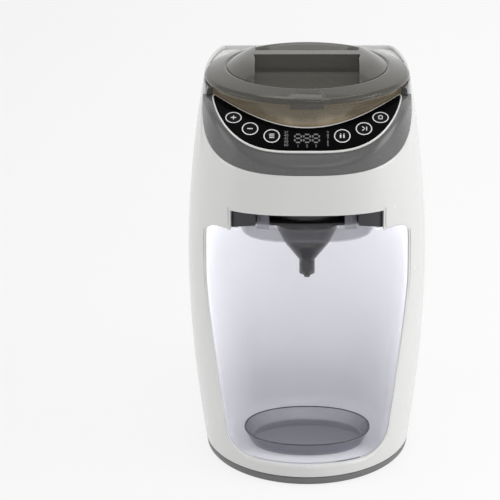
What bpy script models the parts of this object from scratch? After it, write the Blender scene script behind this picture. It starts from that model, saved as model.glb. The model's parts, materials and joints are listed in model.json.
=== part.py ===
"""Baby formula maker: a counter-top machine that doses powder, heats water and mixes
both in a funnel over a lit bottle bay. Metres, +Z up, front towards -Y.

Every piece is modelled round the axis of the powder container, and the empty called
machine then moves the whole machine so that its origin is at the middle of its foot.
"""
import math

import bmesh
import bpy
from mathutils import Matrix, Vector

# Housing outline, seen from above and from the front
body_half_width = 0.118
base_half_width = 0.1005
top_half_width = 0.1014
waist_height = 0.200
shell_top = 0.383
foot_tuck_power = 1.8
top_tuck_power = 2.0
base_front_depth = 0.128
front_bulge = 0.005
front_bulge_height = 0.360
rear_reach = 0.194
rear_tuck = 0.006
rear_mid_height = 0.150
base_front_power = 2.0
front_power = 2.68
rear_power = 2.4
rear_wall_depth = 0.112
rear_corner_softness = 0.004

# Walls and running gaps
shell_wall = 0.0026
gap = 0.0003
slide_gap = 0.0005
overrun = 0.004
weld_distance = 0.00001
level_merge_share = 0.33
long_overrun = 0.060

# Base and feet
foot_height = 0.002
foot_radius = 0.009
foot_x = 0.054
foot_front_y = -0.085
foot_rear_y = 0.135
base_band_top = 0.010
base_floor = 0.003
base_rim_gap = 0.0009
screw_head_radius = 0.0035
screw_head_height = 0.0013
screw_shank_radius = 0.0016
screw_length = 0.010
screw_inset = 0.018
screw_boss_radius = 0.004

# Bottle bay in the front cover
bay_bottom = 0.0225
bay_top = 0.262
bay_foot_half = 0.0765
bay_mid_half = 0.0880
bay_mid_height = 0.112
bay_shoulder_half = 0.0985
bay_shoulder_height = 0.200
bay_top_half = 0.0985
bay_foot_radius = 0.026
bay_mid_radius = 0.160
bay_shoulder_radius = 0.120
bay_top_radius = 0.016
bay_back = 0.018
cove_wall = 0.002
cove_power = 2.5
plate_wall = 0.0023
plate_clearance = 0.0014
deck_front = 0.032

# Notch and funnel drawer
notch_top = 0.282
notch_half = 0.0740
funnel_y = -0.057
drawer_cutout_half = 0.0665
drawer_back = -0.004
drawer_plate = 0.0026
grip_inner_half = 0.0495
grip_recess = 0.0030
grip_depth = 0.016
guide_half = 0.0785
guide_wall = 0.0026
guide_front = -0.096
splash_half = 0.0655
splash_wall = 0.0018
splash_bottom = 0.2505
splash_front_clear = 0.008
splash_power = 3.0
funnel_wall = 0.0018
funnel_top_radius = 0.0490
funnel_neck_radius = 0.0340
funnel_waist_radius = 0.0240
funnel_cone_height = 0.0242
spout_radius = 0.0077
spout_top = 0.2130
spout_bottom = 0.1970
funnel_rim_drop = 0.0010

# Console on top of the front
seam_radius = 0.216
seam_back = 0.182
seam_height = 0.532
seam_steps = 144
console_radius = 0.104
console_back = 0.0445
console_height = 0.271
console_inner_radius = 0.0973
console_rear_share = 0.2
console_steps = 96
console_levels = 8
console_wall = 0.0025
panel_inner_radius = 0.0977
panel_half_width = 0.0932
panel_front_depth = 0.1207
panel_power = 3.6
panel_tip_width = 0.0012
panel_tip_share = 0.06
panel_tip_drop_share = 0.9
panel_sweep = 66.0
panel_sweep_step = 0.25
panel_rows = 4
panel_steps = 38
panel_border = 0.0016
panel_thickness = 0.0016
overlay_depth = 0.0010
membrane_thickness = 0.0010
membrane_margin = 0.0055
key_radius = 0.0080
key_clearance = 0.0004
key_travel = 0.0005
key_rise = 0.0003
key_angles = (39.0, 28.6, 17.5)
key_radius_share = 0.54
display_half_width = 0.0135
display_half_height = 0.0060
display_depth = 0.0060
display_radius_share = 0.46

# Powder container, its well and its lid
well_floor_top = 0.312
well_floor = 0.003
well_top = 0.330
well_wall = 0.002
container_radius = 0.096
container_wall = 0.002
container_floor = 0.003
container_top = 0.384
container_flange = 0.0025
container_flange_height = 0.003
lid_radius = 0.101
lid_bottom = 0.3845
lid_edge_top = 0.3866
lid_shoulder_radius = 0.0985
lid_shoulder_height = 0.3888
lid_crest_radius = 0.0755
lid_crest_height = 0.395
lid_dish_radius = 0.067
lid_dish_height = 0.3896
lid_wall = 0.0024
lid_skirt_wall = 0.0023
lid_plug_radius = 0.0915
lid_plug_wall = 0.0018
lid_plug_bottom = 0.376
seal_height = 0.003
handle_half_length = 0.051
handle_half_thickness = 0.007
machine_height = 0.408
handle_bevel = 0.0020
tab_half_width = 0.016
tab_thickness = 0.0020
tab_bottom = 0.3795

# Dosing gear inside and under the container
hub_bore = 0.007
outlet_radius = 0.012
wheel_radius = 0.088
wheel_thickness = 0.010
wheel_pocket_radius = 0.011
wheel_pockets = 6
rotor_radius = 0.005
rotor_bore_clearance = 0.0003
rotor_top = 0.352
stirrer_height = 0.004
stirrer_reach = 0.085
stirrer_half_width = 0.004
stirrer_hub_radius = 0.009
stirrer_lift = 0.0045
finger_height = 0.022
finger_radius = 0.0022
nut_radius = 0.010
nut_height = 0.005
nut_sides = 6
scraper_half_width = 0.018
scraper_thickness = 0.002
scraper_inner = 0.014
tongue_half_length = 0.0034
tongue_half_width = 0.0012
tongue_height = 0.0050
tongue_clearance = 0.0005
drive_plate_top = 0.290
drive_plate = 0.0025
drive_plate_half = 0.040
drive_plate_front = -0.012
drive_plate_rear = 0.075
post_radius = 0.003
post_x = 0.036
post_front_y = -0.008
post_rear_y = 0.070
gear_bottom = 0.2935
gear_height = 0.006
gear_outer = 0.030
gear_tooth = 0.002
tooth_shares = (0.0, 0.3, 0.42, 0.72)
gear_teeth = 30
pinion_outer = 0.0097
pinion_teeth = 10
motor_y = 0.040
motor_radius = 0.017
motor_height = 0.037
motor_shaft_radius = 0.0025
motor_boss_radius = 0.004
chute_outer = 0.0150
chute_wall = 0.0020
chute_flange = 0.0160
chute_flange_height = 0.002

# Water side
tank_bottom = 0.0405
tank_top = 0.300
tank_wall = 0.0022
tank_inset = 0.0006
tank_lid_height = 0.0032
tank_lid_plug = 0.004
tank_lid_plug_inset = 0.0030
shelf_wall = 0.0026
valve_y = 0.150
valve_hole = 0.008
valve_disc = 0.011
valve_disc_height = 0.0025
valve_stem = 0.005
seat_radius = 0.011
seat_bore = 0.0085
seat_flange = 0.014
seat_flange_height = 0.003
seat_depth = 0.0197
seat_floor = 0.004
seat_pin = 0.002
seat_pin_drop = 0.0015
pump_x = 0.042
pump_y = 0.060
pump_radius = 0.018
pump_height = 0.055
pump_shoulder_share = 0.667
pump_neck_share = 0.5
heater_x = -0.046
heater_y = 0.064
heater_radius = 0.020
heater_height = 0.145
hose_radius = 0.003
hose_height = 0.025
hose_straight = 0.009
hose_turn = 0.015
hose_join = 0.018
hose_hole_radius = 0.0045
pump_port_height = 0.050
heater_port_height = 0.05625
hose_bow = 0.0067
rise_drop = 0.0083
rise_way_share = 0.75
rise_start_share = 0.25
across_share = 0.8
across_end_share = 0.33
nozzle_y = -0.0365
nozzle_radius = 0.004
nozzle_bore = 0.0018
nozzle_height = 0.0155
nozzle_drop = 0.0020
nozzle_port_height = 0.297
hose_points = 16

# Boards, inlet and lamp lenses
board_thickness = 0.0016
board_post_radius = 0.003
board_post_inset = 0.006
control_board_half = 0.045
control_board_bottom = 0.120
control_board_top = 0.200
control_board_post = 0.004
power_board_half = 0.018
power_board_front = 0.030
power_board_rear = 0.080
power_board_post = 0.005
inlet_x = 0.030
inlet_half_width = 0.012
inlet_height = 0.016
inlet_bottom = 0.014
inlet_depth = 0.014
inlet_recess = 0.001
socket_margin = 0.003
lens_inner = 0.0680
lens_outer = 0.0780
lens_front = -0.062
lens_rear = -0.030
lens_height = 0.0030

# Drip tray
tray_y = -0.056
tray_rim_radius = 0.0627
tray_foot_radius = 0.0575
tray_depth_share = 0.84
tray_rim_height = 0.0355
tray_power = 2.15
tray_wall = 0.0018

# Fineness of round forms
outline_steps = 26
round_steps = 36
large_steps = 48
small_steps = 12
corner_steps = 6
side_steps = 36

# Colours as the surfaces look: red, green, blue, roughness, metallic
white_gloss = (0.86, 0.86, 0.85, 0.22, 0.0)
white_cove = (0.88, 0.88, 0.90, 0.30, 0.0)
console_gray = (0.13, 0.13, 0.13, 0.42, 0.0)
base_gray = (0.16, 0.16, 0.16, 0.45, 0.0)
smoky = (0.07, 0.068, 0.062, 0.12, 0.0)
dark_plastic = (0.03, 0.03, 0.034, 0.35, 0.0)
panel_black = (0.006, 0.006, 0.007, 0.12, 0.0)
silver = (0.62, 0.61, 0.58, 0.28, 0.9)
key_black = (0.01, 0.01, 0.011, 0.22, 0.0)
clear_plastic = (0.52, 0.52, 0.58, 0.12, 0.0)
natural_plastic = (0.70, 0.70, 0.68, 0.35, 0.0)
steel = (0.55, 0.55, 0.56, 0.30, 1.0)
rubber = (0.03, 0.03, 0.03, 0.80, 0.0)
circuit_green = (0.02, 0.14, 0.06, 0.45, 0.0)
hose_white = (0.75, 0.75, 0.73, 0.45, 0.0)
lens_milk = (0.92, 0.92, 0.95, 0.35, 0.0)

for old in list(bpy.data.objects):
    bpy.data.objects.remove(old, do_unlink=True)

scene = bpy.context.scene
parts = bpy.data.collections.new("formula_maker")
cutters = bpy.data.collections.new("cutters")
scene.collection.children.link(parts)
scene.collection.children.link(cutters)


def front_depth(z):
    return base_front_depth + front_bulge * math.sin(math.pi * z / front_bulge_height)


front_reach = front_depth(notch_top)
axis_y = (front_reach - (rear_reach - tank_inset)) / 2
machine = bpy.data.objects.new("machine", None)
parts.objects.link(machine)
machine.location = (0, axis_y, 0)


def material(name, look):
    found = bpy.data.materials.get(name)
    if found:
        return found
    made = bpy.data.materials.new(name)
    made.use_nodes = True
    shader = made.node_tree.nodes["Principled BSDF"]
    shader.inputs["Base Color"].default_value = (*look[:3], 1)
    shader.inputs["Roughness"].default_value = look[3]
    shader.inputs["Metallic"].default_value = look[4]
    return made


def link(obj, look, look_name, parent=None):
    """Put a finished piece in the object's collection, on its parent."""
    obj.data.materials.clear()
    obj.data.materials.append(material(look_name, look))
    parts.objects.link(obj)
    obj.parent = parent or machine
    return obj


def as_cutter(obj):
    cutters.objects.link(obj)
    obj.parent = machine
    obj.hide_render = True
    obj.display_type = "WIRE"
    return obj


def boolean(obj, tool, operation):
    step = obj.modifiers.new(tool.name, "BOOLEAN")
    step.operation = operation
    step.object = tool
    step.solver = "EXACT"
    return obj


def cut(obj, *tools):
    for tool in tools:
        boolean(obj, tool, "DIFFERENCE")
    return obj


def join(obj, *tools):
    for tool in tools:
        boolean(obj, tool, "UNION")
    return obj


def keep_inside(obj, *tools):
    for tool in tools:
        boolean(obj, tool, "INTERSECT")
    return obj


def bevel(obj, width, segments=2):
    step = obj.modifiers.new("edge_round", "BEVEL")
    step.width = width
    step.segments = segments
    step.limit_method = "ANGLE"
    return obj


def from_bmesh(name, bm, place=(0, 0, 0), sharp=35):
    mesh = bpy.data.meshes.new(name)
    bm.to_mesh(mesh)
    bm.free()
    mesh.shade_smooth()
    mesh.set_sharp_from_angle(angle=math.radians(sharp))
    obj = bpy.data.objects.new(name, mesh)
    obj.location = place
    return obj


def box(name, low, high, place=(0, 0, 0)):
    """A box between two corners, which are measured from its own origin."""
    bm = bmesh.new()
    bmesh.ops.create_cube(bm, size=1)
    low, high = Vector(low), Vector(high)
    bmesh.ops.scale(bm, vec=high - low, verts=bm.verts)
    bmesh.ops.translate(bm, vec=(low + high) / 2, verts=bm.verts)
    return from_bmesh(name, bm, place)


def cylinder(name, radius, low, high, x=0, y=0, axis="Z", steps=small_steps, place=(0, 0, 0)):
    """A round bar from low to high along its axis; x and y place its centre line."""
    bm = bmesh.new()
    bmesh.ops.create_cone(bm, cap_ends=True, segments=steps, radius1=radius, radius2=radius,
                          depth=high - low)
    bmesh.ops.translate(bm, vec=(x, y, (low + high) / 2), verts=bm.verts)
    if axis == "Y":
        bmesh.ops.rotate(bm, matrix=Matrix.Rotation(math.radians(-90), 3, "X"), verts=bm.verts)
    if axis == "X":
        bmesh.ops.rotate(bm, matrix=Matrix.Rotation(math.radians(90), 3, "Y"), verts=bm.verts)
    return from_bmesh(name, bm, place)


def turned(name, profile, place=(0, 0, 0), steps=round_steps):
    """A profile of (radius, height) points, turned round the Z axis through place.
    It runs down the outer side; a profile off the axis is closed on itself."""
    mesh = bpy.data.meshes.new(name)
    count = len(profile)
    edges = [(i, i + 1) for i in range(count - 1)]
    on_axis = profile[0][0] == 0 and profile[-1][0] == 0
    if not on_axis:
        edges.append((count - 1, 0))
    mesh.from_pydata([(radius, 0, height) for radius, height in profile], edges, [])
    obj = bpy.data.objects.new(name, mesh)
    obj.location = place
    screw = obj.modifiers.new("turn", "SCREW")
    screw.steps = steps
    screw.render_steps = steps
    screw.use_merge_vertices = True
    screw.merge_threshold = weld_distance
    screw.use_smooth_shade = True
    return obj


def plate(name, outline, low, high, axis="Z", place=(0, 0, 0)):
    """A flat outline of (u, v) points, filled and given thickness along an axis.
    Along Z the outline is (x, y), along Y it is (x, z) and along X it is (y, z)."""
    curve = bpy.data.curves.new(name, "CURVE")
    curve.dimensions = "2D"
    curve.fill_mode = "BOTH"
    curve.extrude = (high - low) / 2
    line = curve.splines.new("POLY")
    line.points.add(len(outline) - 1)
    for point, (u, v) in zip(line.points, outline):
        point.co = (u, v, 0, 1)
    line.use_cyclic_u = True
    holder = bpy.data.objects.new(name, curve)
    scene.collection.objects.link(holder)
    bpy.context.view_layer.update()
    flat = holder.evaluated_get(bpy.context.evaluated_depsgraph_get())
    mesh = bpy.data.meshes.new_from_object(flat)
    bpy.data.objects.remove(holder, do_unlink=True)
    bm = bmesh.new()
    bm.from_mesh(mesh)
    bmesh.ops.remove_doubles(bm, verts=bm.verts, dist=weld_distance)
    bmesh.ops.translate(bm, vec=(0, 0, (low + high) / 2), verts=bm.verts)
    if axis == "Y":
        turn = Matrix(((1, 0, 0), (0, 0, 1), (0, 1, 0)))
        bmesh.ops.transform(bm, matrix=turn.to_4x4(), verts=bm.verts)
        bmesh.ops.reverse_faces(bm, faces=bm.faces)
    if axis == "X":
        turn = Matrix(((0, 0, 1), (1, 0, 0), (0, 1, 0)))
        bmesh.ops.transform(bm, matrix=turn.to_4x4(), verts=bm.verts)
    bmesh.ops.recalc_face_normals(bm, faces=bm.faces)
    return from_bmesh(name, bm, place)


def loft(name, rings, closed=True, bottom=False, top=False, place=(0, 0, 0)):
    """A skin over rings of points that have the same count, with optional flat ends."""
    bm = bmesh.new()
    rows = [[bm.verts.new(point) for point in ring] for ring in rings]
    count = len(rings[0])
    last = count if closed else count - 1
    for lower, upper in zip(rows, rows[1:]):
        for i in range(last):
            j = (i + 1) % count
            bm.faces.new((lower[i], lower[j], upper[j], upper[i]))
    if bottom:
        bm.faces.new(list(reversed(rows[0])))
    if top:
        bm.faces.new(rows[-1])
    return from_bmesh(name, bm, place)


def thicken(obj, wall):
    step = obj.modifiers.new("wall", "SOLIDIFY")
    step.thickness = wall
    step.offset = -1
    step.use_even_offset = True
    return obj


def smooth_route(points, count):
    """Evenly spaced points on one smooth curve through the given points."""
    knots = [Vector(point) for point in points]
    knots = [2 * knots[0] - knots[1]] + knots + [2 * knots[-1] - knots[-2]]
    dense = []
    for a, b, c, d in zip(knots, knots[1:], knots[2:], knots[3:]):
        for i in range(count):
            t = i / count
            dense.append((2 * b + (c - a) * t + (2 * a - 5 * b + 4 * c - d) * t * t
                          + (3 * b - a - 3 * c + d) * t * t * t) / 2)
    dense.append(knots[-2])
    walked = [0]
    for start, end in zip(dense, dense[1:]):
        walked.append(walked[-1] + (end - start).length)
    route = []
    index = 0
    for i in range(count + 1):
        target = walked[-1] * i / count
        while index < len(walked) - 2 and walked[index + 1] < target:
            index += 1
        span = walked[index + 1] - walked[index]
        route.append(dense[index].lerp(dense[index + 1], (target - walked[index]) / span))
    return route


def tube(name, points, radius):
    curve = bpy.data.curves.new(name, "CURVE")
    curve.dimensions = "3D"
    curve.bevel_depth = radius
    curve.bevel_resolution = 2
    curve.use_fill_caps = True
    line = curve.splines.new("POLY")
    line.points.add(len(points) - 1)
    for point, place in zip(line.points, points):
        point.co = (*place, 1)
    return bpy.data.objects.new(name, curve)


def rounded(corners):
    """An outline whose corners, given as (u, v, radius), are replaced by arcs."""
    outline = []
    count = len(corners)
    for i, (u, v, radius) in enumerate(corners):
        here = Vector((u, v))
        back = Vector(corners[i - 1][:2]) - here
        ahead = Vector(corners[(i + 1) % count][:2]) - here
        if radius == 0:
            outline.append((u, v))
            continue
        half = back.angle(ahead) / 2
        reach = min(radius / math.tan(half), back.length / 2, ahead.length / 2)
        middle = here + (back.normalized() + ahead.normalized()).normalized() \
            * reach / math.cos(half)
        start = here + back.normalized() * reach - middle
        end = here + ahead.normalized() * reach - middle
        sweep = start.angle_signed(end)
        for k in range(corner_steps + 1):
            spot = middle + Matrix.Rotation(-sweep * k / corner_steps, 2) @ start
            outline.append((spot.x, spot.y))
    return outline


def power_curve(value, power):
    return math.copysign(abs(value) ** (2 / power), value)


def half_width(z):
    if z < waist_height:
        drop = (waist_height - z) / waist_height
        return body_half_width - (body_half_width - base_half_width) * drop ** foot_tuck_power
    rise = (z - waist_height) / (shell_top - waist_height)
    return body_half_width - (body_half_width - top_half_width) * rise ** top_tuck_power


def rear_depth(z):
    away = (z - rear_mid_height) / rear_mid_height
    return rear_reach - rear_tuck * away ** 2


def front_squareness(z):
    return base_front_power + (front_power - base_front_power) * min(1, z / notch_top)


def outline_point(angle, z, inset=0):
    """A point of the housing's outline at a height, drawn in by an inset."""
    across = half_width(z) - inset
    deep = front_depth(z) if angle > math.pi else rear_depth(z)
    power = front_squareness(z) if angle > math.pi else rear_power
    return (across * power_curve(math.cos(angle), power),
            (deep - inset) * power_curve(math.sin(angle), power))


def front_surface_y(x, z, inset=0):
    power = front_squareness(z)
    share = min(1, abs(x) / (half_width(z) - inset))
    return -(front_depth(z) - inset) * (1 - share ** power) ** (1 / power)


def soft_stop(y, wall):
    """The rear outline runs into the flat back wall with a soft corner."""
    return -rear_corner_softness * math.log(
        math.exp(-y / rear_corner_softness) + math.exp(-wall / rear_corner_softness))


def front_ring(z, inset=0):
    ring = []
    for i in range(outline_steps + 1):
        x, y = outline_point(math.pi * (1 + i / outline_steps), z, inset)
        ring.append((x, y if 0 < i < outline_steps else 0, z))
    return ring


def rear_ring(z, inset=0):
    ring = []
    for i in range(outline_steps + 1):
        x, y = outline_point(math.pi * i / outline_steps, z, inset)
        ring.append((x, soft_stop(y, rear_wall_depth - inset) + gap, z))
    return ring


def full_ring(z, inset=0):
    ring = []
    for i in range(2 * outline_steps):
        x, y = outline_point(math.pi * i / outline_steps, z, inset)
        ring.append((x, y, z))
    return ring


def tank_ring(z, inset):
    """The part of the rear outline behind the back wall, closed by its flat front."""
    flat = rear_wall_depth + 2 * gap + max(0, inset - tank_inset)
    deep = rear_depth(z) - inset
    start = math.asin(min(1, (flat / deep) ** (rear_power / 2)))
    ring = []
    steps = outline_steps // 2
    for i in range(steps + 1):
        x, y = outline_point(start + (math.pi - 2 * start) * i / steps, z, inset)
        ring.append((x, max(y, flat), z))
    return ring


def levels(low, high, count, *exact):
    """Evenly spread heights, with the exact ones that a cut or a limit needs."""
    marks = [low + (high - low) * i / count for i in range(count + 1)]
    spacing = (high - low) / count * level_merge_share
    for height in exact:
        marks = [m for m in marks if abs(m - height) > spacing or m in (low, high)]
        marks.append(height)
    return sorted(marks)


# Base with its gray band, feet and screws
base_levels = (foot_height, base_band_top - base_rim_gap)
base_plate = loft("base_plate", [full_ring(z) for z in base_levels], bottom=True)
thicken(base_plate, base_floor)
base_top = foot_height + base_floor
base_spots = [(side * foot_x, y) for y in (foot_front_y, foot_rear_y) for side in (-1, 1)]
for i, (x, y) in enumerate(base_spots):
    foot = cylinder(f"foot_{i + 1}", foot_radius, 0, foot_height - gap, x, y)
    link(foot, rubber, "rubber")
screw_holes = []
for i, (x, y) in enumerate(base_spots[2:]):
    screw_y = y - screw_inset
    head_top = foot_height - gap
    hole = as_cutter(cylinder(f"screw_hole_{i + 1}", screw_shank_radius + gap,
                              foot_height - overrun, head_top + screw_length + overrun,
                              x, screw_y))
    screw_holes.append(hole)
    cut(base_plate, hole)
    screw = turned(f"base_screw_{i + 1}", [
        (0, head_top + screw_length), (screw_shank_radius, head_top + screw_length),
        (screw_shank_radius, head_top), (screw_head_radius, head_top),
        (screw_head_radius, head_top - screw_head_height), (0, head_top - screw_head_height)],
        (x, screw_y, 0), small_steps)
    link(screw, steel, "steel")
link(base_plate, base_gray, "base_gray")

# Front cover with the bottle bay's opening and the notch for the funnel drawer
front_levels = levels(base_band_top, shell_top, 11, notch_top)
front_cover = thicken(loft("front_cover", [front_ring(z) for z in front_levels], closed=False),
                      shell_wall)


def bay_half(z):
    """Half the bay's width at a height, along the straight runs of its outline."""
    marks = ((bay_bottom, bay_foot_half), (bay_mid_height, bay_mid_half),
             (bay_shoulder_height, bay_shoulder_half), (bay_top, bay_top_half))
    for (z0, w0), (z1, w1) in zip(marks, marks[1:]):
        if z <= z1:
            return w0 + (w1 - w0) * max(0, z - z0) / (z1 - z0)
    return bay_top_half


bay_outline = rounded([
    (-bay_foot_half, bay_bottom, bay_foot_radius), (bay_foot_half, bay_bottom, bay_foot_radius),
    (bay_mid_half, bay_mid_height, bay_mid_radius),
    (bay_shoulder_half, bay_shoulder_height, bay_shoulder_radius),
    (bay_top_half, bay_top, bay_top_radius), (notch_half, bay_top, 0),
    (notch_half, notch_top, 0), (-notch_half, notch_top, 0), (-notch_half, bay_top, 0),
    (-bay_top_half, bay_top, bay_top_radius),
    (-bay_shoulder_half, bay_shoulder_height, bay_shoulder_radius),
    (-bay_mid_half, bay_mid_height, bay_mid_radius)])
bay_cutter = as_cutter(plate("bay_cutter", bay_outline, -front_reach - overrun,
                             -front_reach + long_overrun, "Y"))
seam_cutter = as_cutter(cylinder("seam_cutter", seam_radius + gap, -body_half_width - overrun,
                                 body_half_width + overrun, -seam_height, -seam_back, "X",
                                 seam_steps))
cut(front_cover, bay_cutter, seam_cutter)
link(front_cover, white_gloss, "white_gloss")

# Rear cover with its flat back wall
rear_levels = levels(base_band_top, shell_top, 8)
rear_cover = thicken(loft("rear_cover", [rear_ring(z) for z in rear_levels], closed=False),
                     shell_wall)
hose_hole = as_cutter(cylinder("hose_hole", hose_hole_radius, rear_wall_depth - overrun * 2,
                               rear_wall_depth + overrun * 2, 0, -hose_height, "Y"))
cut(rear_cover, hose_hole)
link(rear_cover, white_gloss, "white_gloss")

# Top deck between the container and the back wall
deck_top = shell_top - overrun
deck_inset = shell_wall + gap
deck_ring = [(x, y) for x, y, z in rear_ring(deck_top, deck_inset)]
deck = plate("top_deck", deck_ring, deck_top - plate_wall, deck_top)
deck_hole = as_cutter(cylinder("deck_hole", console_inner_radius, deck_top - overrun * 2,
                               deck_top + overrun, steps=large_steps))
deck_trim = as_cutter(box("deck_trim", (-body_half_width, -overrun, deck_top - overrun * 2),
                          (body_half_width, deck_front, deck_top + overrun)))
cut(deck, deck_hole, deck_trim)
link(deck, white_gloss, "white_gloss")

# Shelf behind the back wall, on which the tank stands
shelf_top = tank_bottom - slide_gap
shelf = loft("tank_shelf", [tank_ring(z, 0) for z in levels(base_band_top, shelf_top, 2)],
             bottom=True, top=True)
shelf_hollow = as_cutter(loft(
    "shelf_hollow", [tank_ring(z, shelf_wall) for z in
                     levels(base_band_top - overrun, shelf_top - shelf_wall, 2)],
    bottom=True, top=True))
seat_hole = as_cutter(cylinder("seat_hole", seat_radius + slide_gap, shelf_top - overrun * 2,
                               shelf_top + overrun, 0, valve_y))
inlet_share = (inlet_x + inlet_half_width) / half_width(inlet_bottom)
inlet_face = rear_depth(inlet_bottom) * (1 - inlet_share ** rear_power) ** (1 / rear_power) \
    - inlet_recess
inlet_hole = as_cutter(box(
    "inlet_hole", (inlet_x - inlet_half_width - gap, inlet_face - inlet_depth - overrun,
                   inlet_bottom - gap),
    (inlet_x + inlet_half_width + gap, rear_reach + overrun,
     inlet_bottom + inlet_height + gap)))
cut(shelf, shelf_hollow, seat_hole, inlet_hole, hose_hole)
for i, (x, y) in enumerate(base_spots[2:]):
    boss = as_cutter(cylinder(f"shelf_boss_{i + 1}", screw_boss_radius, base_top + gap,
                              shelf_top - shelf_wall / 2, x, y - screw_inset))
    join(shelf, boss)
cut(shelf, *screw_holes)
link(shelf, white_gloss, "white_gloss")

# Power inlet: a block with the socket for a lead
inlet = box("power_inlet", (inlet_x - inlet_half_width, inlet_face - inlet_depth, inlet_bottom),
            (inlet_x + inlet_half_width, inlet_face, inlet_bottom + inlet_height))
socket_cutter = as_cutter(box(
    "inlet_socket",
    (inlet_x - inlet_half_width + socket_margin, inlet_face - inlet_depth + socket_margin,
     inlet_bottom + socket_margin),
    (inlet_x + inlet_half_width - socket_margin, inlet_face + overrun,
     inlet_bottom + inlet_height - socket_margin)))
cut(inlet, socket_cutter)
link(inlet, dark_plastic, "dark_plastic")


# Bottle bay: floor, cove wall and ceiling
def cove_edge_y(z):
    return front_surface_y(bay_half(z) + gap + cove_wall, z, shell_wall + plate_clearance)


def cove_ring(z, outward=0):
    across = bay_half(z) + gap + outward
    edge = cove_edge_y(z)
    deep = bay_back + outward - edge
    ring = []
    for i in range(outline_steps + 1):
        angle = math.pi * i / outline_steps
        ring.append((-across * power_curve(math.cos(angle), cove_power),
                     edge + deep * abs(math.sin(angle)) ** (2 / cove_power), z))
    return ring


def bay_plate_outline(z):
    """The bay's plan at a height: the cove round the back, the front cover in front."""
    back = [(x, y) for x, y, height in cove_ring(z, cove_wall)]
    across = bay_half(z) + gap + cove_wall
    front = []
    for i in range(1, small_steps):
        x = across * (1 - 2 * i / small_steps)
        front.append((x, front_surface_y(x, z - plate_wall, shell_wall + plate_clearance)))
    return back + front


bay_floor_top = bay_bottom
bay_floor = plate("bay_floor", bay_plate_outline(bay_bottom), bay_floor_top - plate_wall,
                  bay_floor_top)
link(bay_floor, white_cove, "white_cove")
bay_wall = thicken(loft("bay_wall", [cove_ring(z) for z in
                                     levels(bay_floor_top + gap, bay_top - gap, 6,
                                            bay_mid_height, bay_shoulder_height)],
                        closed=False), cove_wall)
link(bay_wall, white_cove, "white_cove")
ceiling_top = bay_top + plate_wall
ceiling = plate("bay_ceiling", bay_plate_outline(bay_top), bay_top, ceiling_top)
drawer_cutout = as_cutter(box(
    "drawer_cutout", (-drawer_cutout_half, -front_reach - overrun, bay_top - overrun),
    (drawer_cutout_half, drawer_back, ceiling_top + overrun)))
cut(ceiling, drawer_cutout)
link(ceiling, white_cove, "white_cove")
for side, word in ((-1, "left"), (1, "right")):
    low_x, high_x = sorted((side * lens_inner, side * lens_outer))
    lens = box(f"bay_light_{word}", (low_x, lens_front, bay_top - gap - lens_height),
               (high_x, lens_rear, bay_top - gap))
    link(lens, lens_milk, "lens_milk")

# Drip tray: an oval dish that stands on the bay floor
tray_bottom = bay_floor_top + gap


def tray_ring(z, inset=0):
    share = (z - tray_bottom) / (tray_rim_height - tray_bottom)
    across = tray_foot_radius + (tray_rim_radius - tray_foot_radius) * share - inset
    ring = []
    for i in range(round_steps):
        angle = 2 * math.pi * i / round_steps
        ring.append((across * power_curve(math.cos(angle), tray_power),
                     across * tray_depth_share * power_curve(math.sin(angle), tray_power),
                     z - tray_bottom))
    return ring


drip_tray = loft("drip_tray", [tray_ring(z) for z in (tray_bottom, tray_rim_height)],
                 bottom=True, place=(0, tray_y, tray_bottom))
thicken(drip_tray, tray_wall)
link(drip_tray, clear_plastic, "clear_plastic")

# Funnel guide: an upside-down channel on the bay ceiling
guide_bottom = ceiling_top + gap
guide_top = notch_top + 2 * slide_gap + guide_wall
guide = box("funnel_guide", (-guide_half, guide_front, guide_bottom),
            (guide_half, bay_back, guide_top))
guide_channel = as_cutter(box(
    "guide_channel", (-notch_half, guide_front - overrun, guide_bottom - overrun),
    (notch_half, bay_back - guide_wall, guide_top - guide_wall)))
chute_hole = as_cutter(cylinder("chute_hole", chute_outer - chute_wall,
                                guide_top - overrun, guide_top + overrun, 0, funnel_y,
                                steps=round_steps))
nozzle_hole = as_cutter(cylinder("nozzle_hole", nozzle_radius / 2 + gap, guide_top - overrun,
                                 guide_top + overrun, 0, nozzle_y))
cut(guide, guide_channel, chute_hole, nozzle_hole)
link(guide, dark_plastic, "dark_plastic")

# Funnel drawer: the plate runs on the ceiling, the two grips fill the notch's ends
plate_low = ceiling_top + gap
plate_high = plate_low + drawer_plate
drawer_half = notch_half - slide_gap
funnel_waist_height = plate_high - funnel_cone_height
drawer_levels = (plate_low, notch_top - 2 * slide_gap)


def drawer_ring(z):
    ring = []
    for i in range(small_steps + 1):
        x = -drawer_half + 2 * drawer_half * i / small_steps
        ring.append((x, front_surface_y(x, z, grip_recess), z))
    ring.append((drawer_half, drawer_back - slide_gap, z))
    ring.append((-drawer_half, drawer_back - slide_gap, z))
    return ring


holder = loft("funnel_holder", [drawer_ring(z) for z in drawer_levels], bottom=True, top=True)
grip_back = front_surface_y(drawer_half, notch_top, grip_recess) + grip_depth
middle_gap = as_cutter(box(
    "holder_middle", (-grip_inner_half, -front_reach - overrun, plate_high),
    (grip_inner_half, drawer_back + overrun, notch_top + overrun)))
rear_gap = as_cutter(box(
    "holder_rear", (-body_half_width, grip_back, plate_high),
    (body_half_width, drawer_back + overrun, notch_top + overrun)))
holder_hole = as_cutter(cylinder("holder_hole", funnel_neck_radius + slide_gap,
                                 plate_low - overrun, plate_high + overrun, 0, funnel_y,
                                 steps=round_steps))
cut(holder, middle_gap, rear_gap, holder_hole)
link(holder, dark_plastic, "dark_plastic")

# Splash plate: a clear shallow dish under the drawer, round the funnel
splash_top = bay_top - gap
splash_front = front_reach - shell_wall - splash_front_clear


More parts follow.
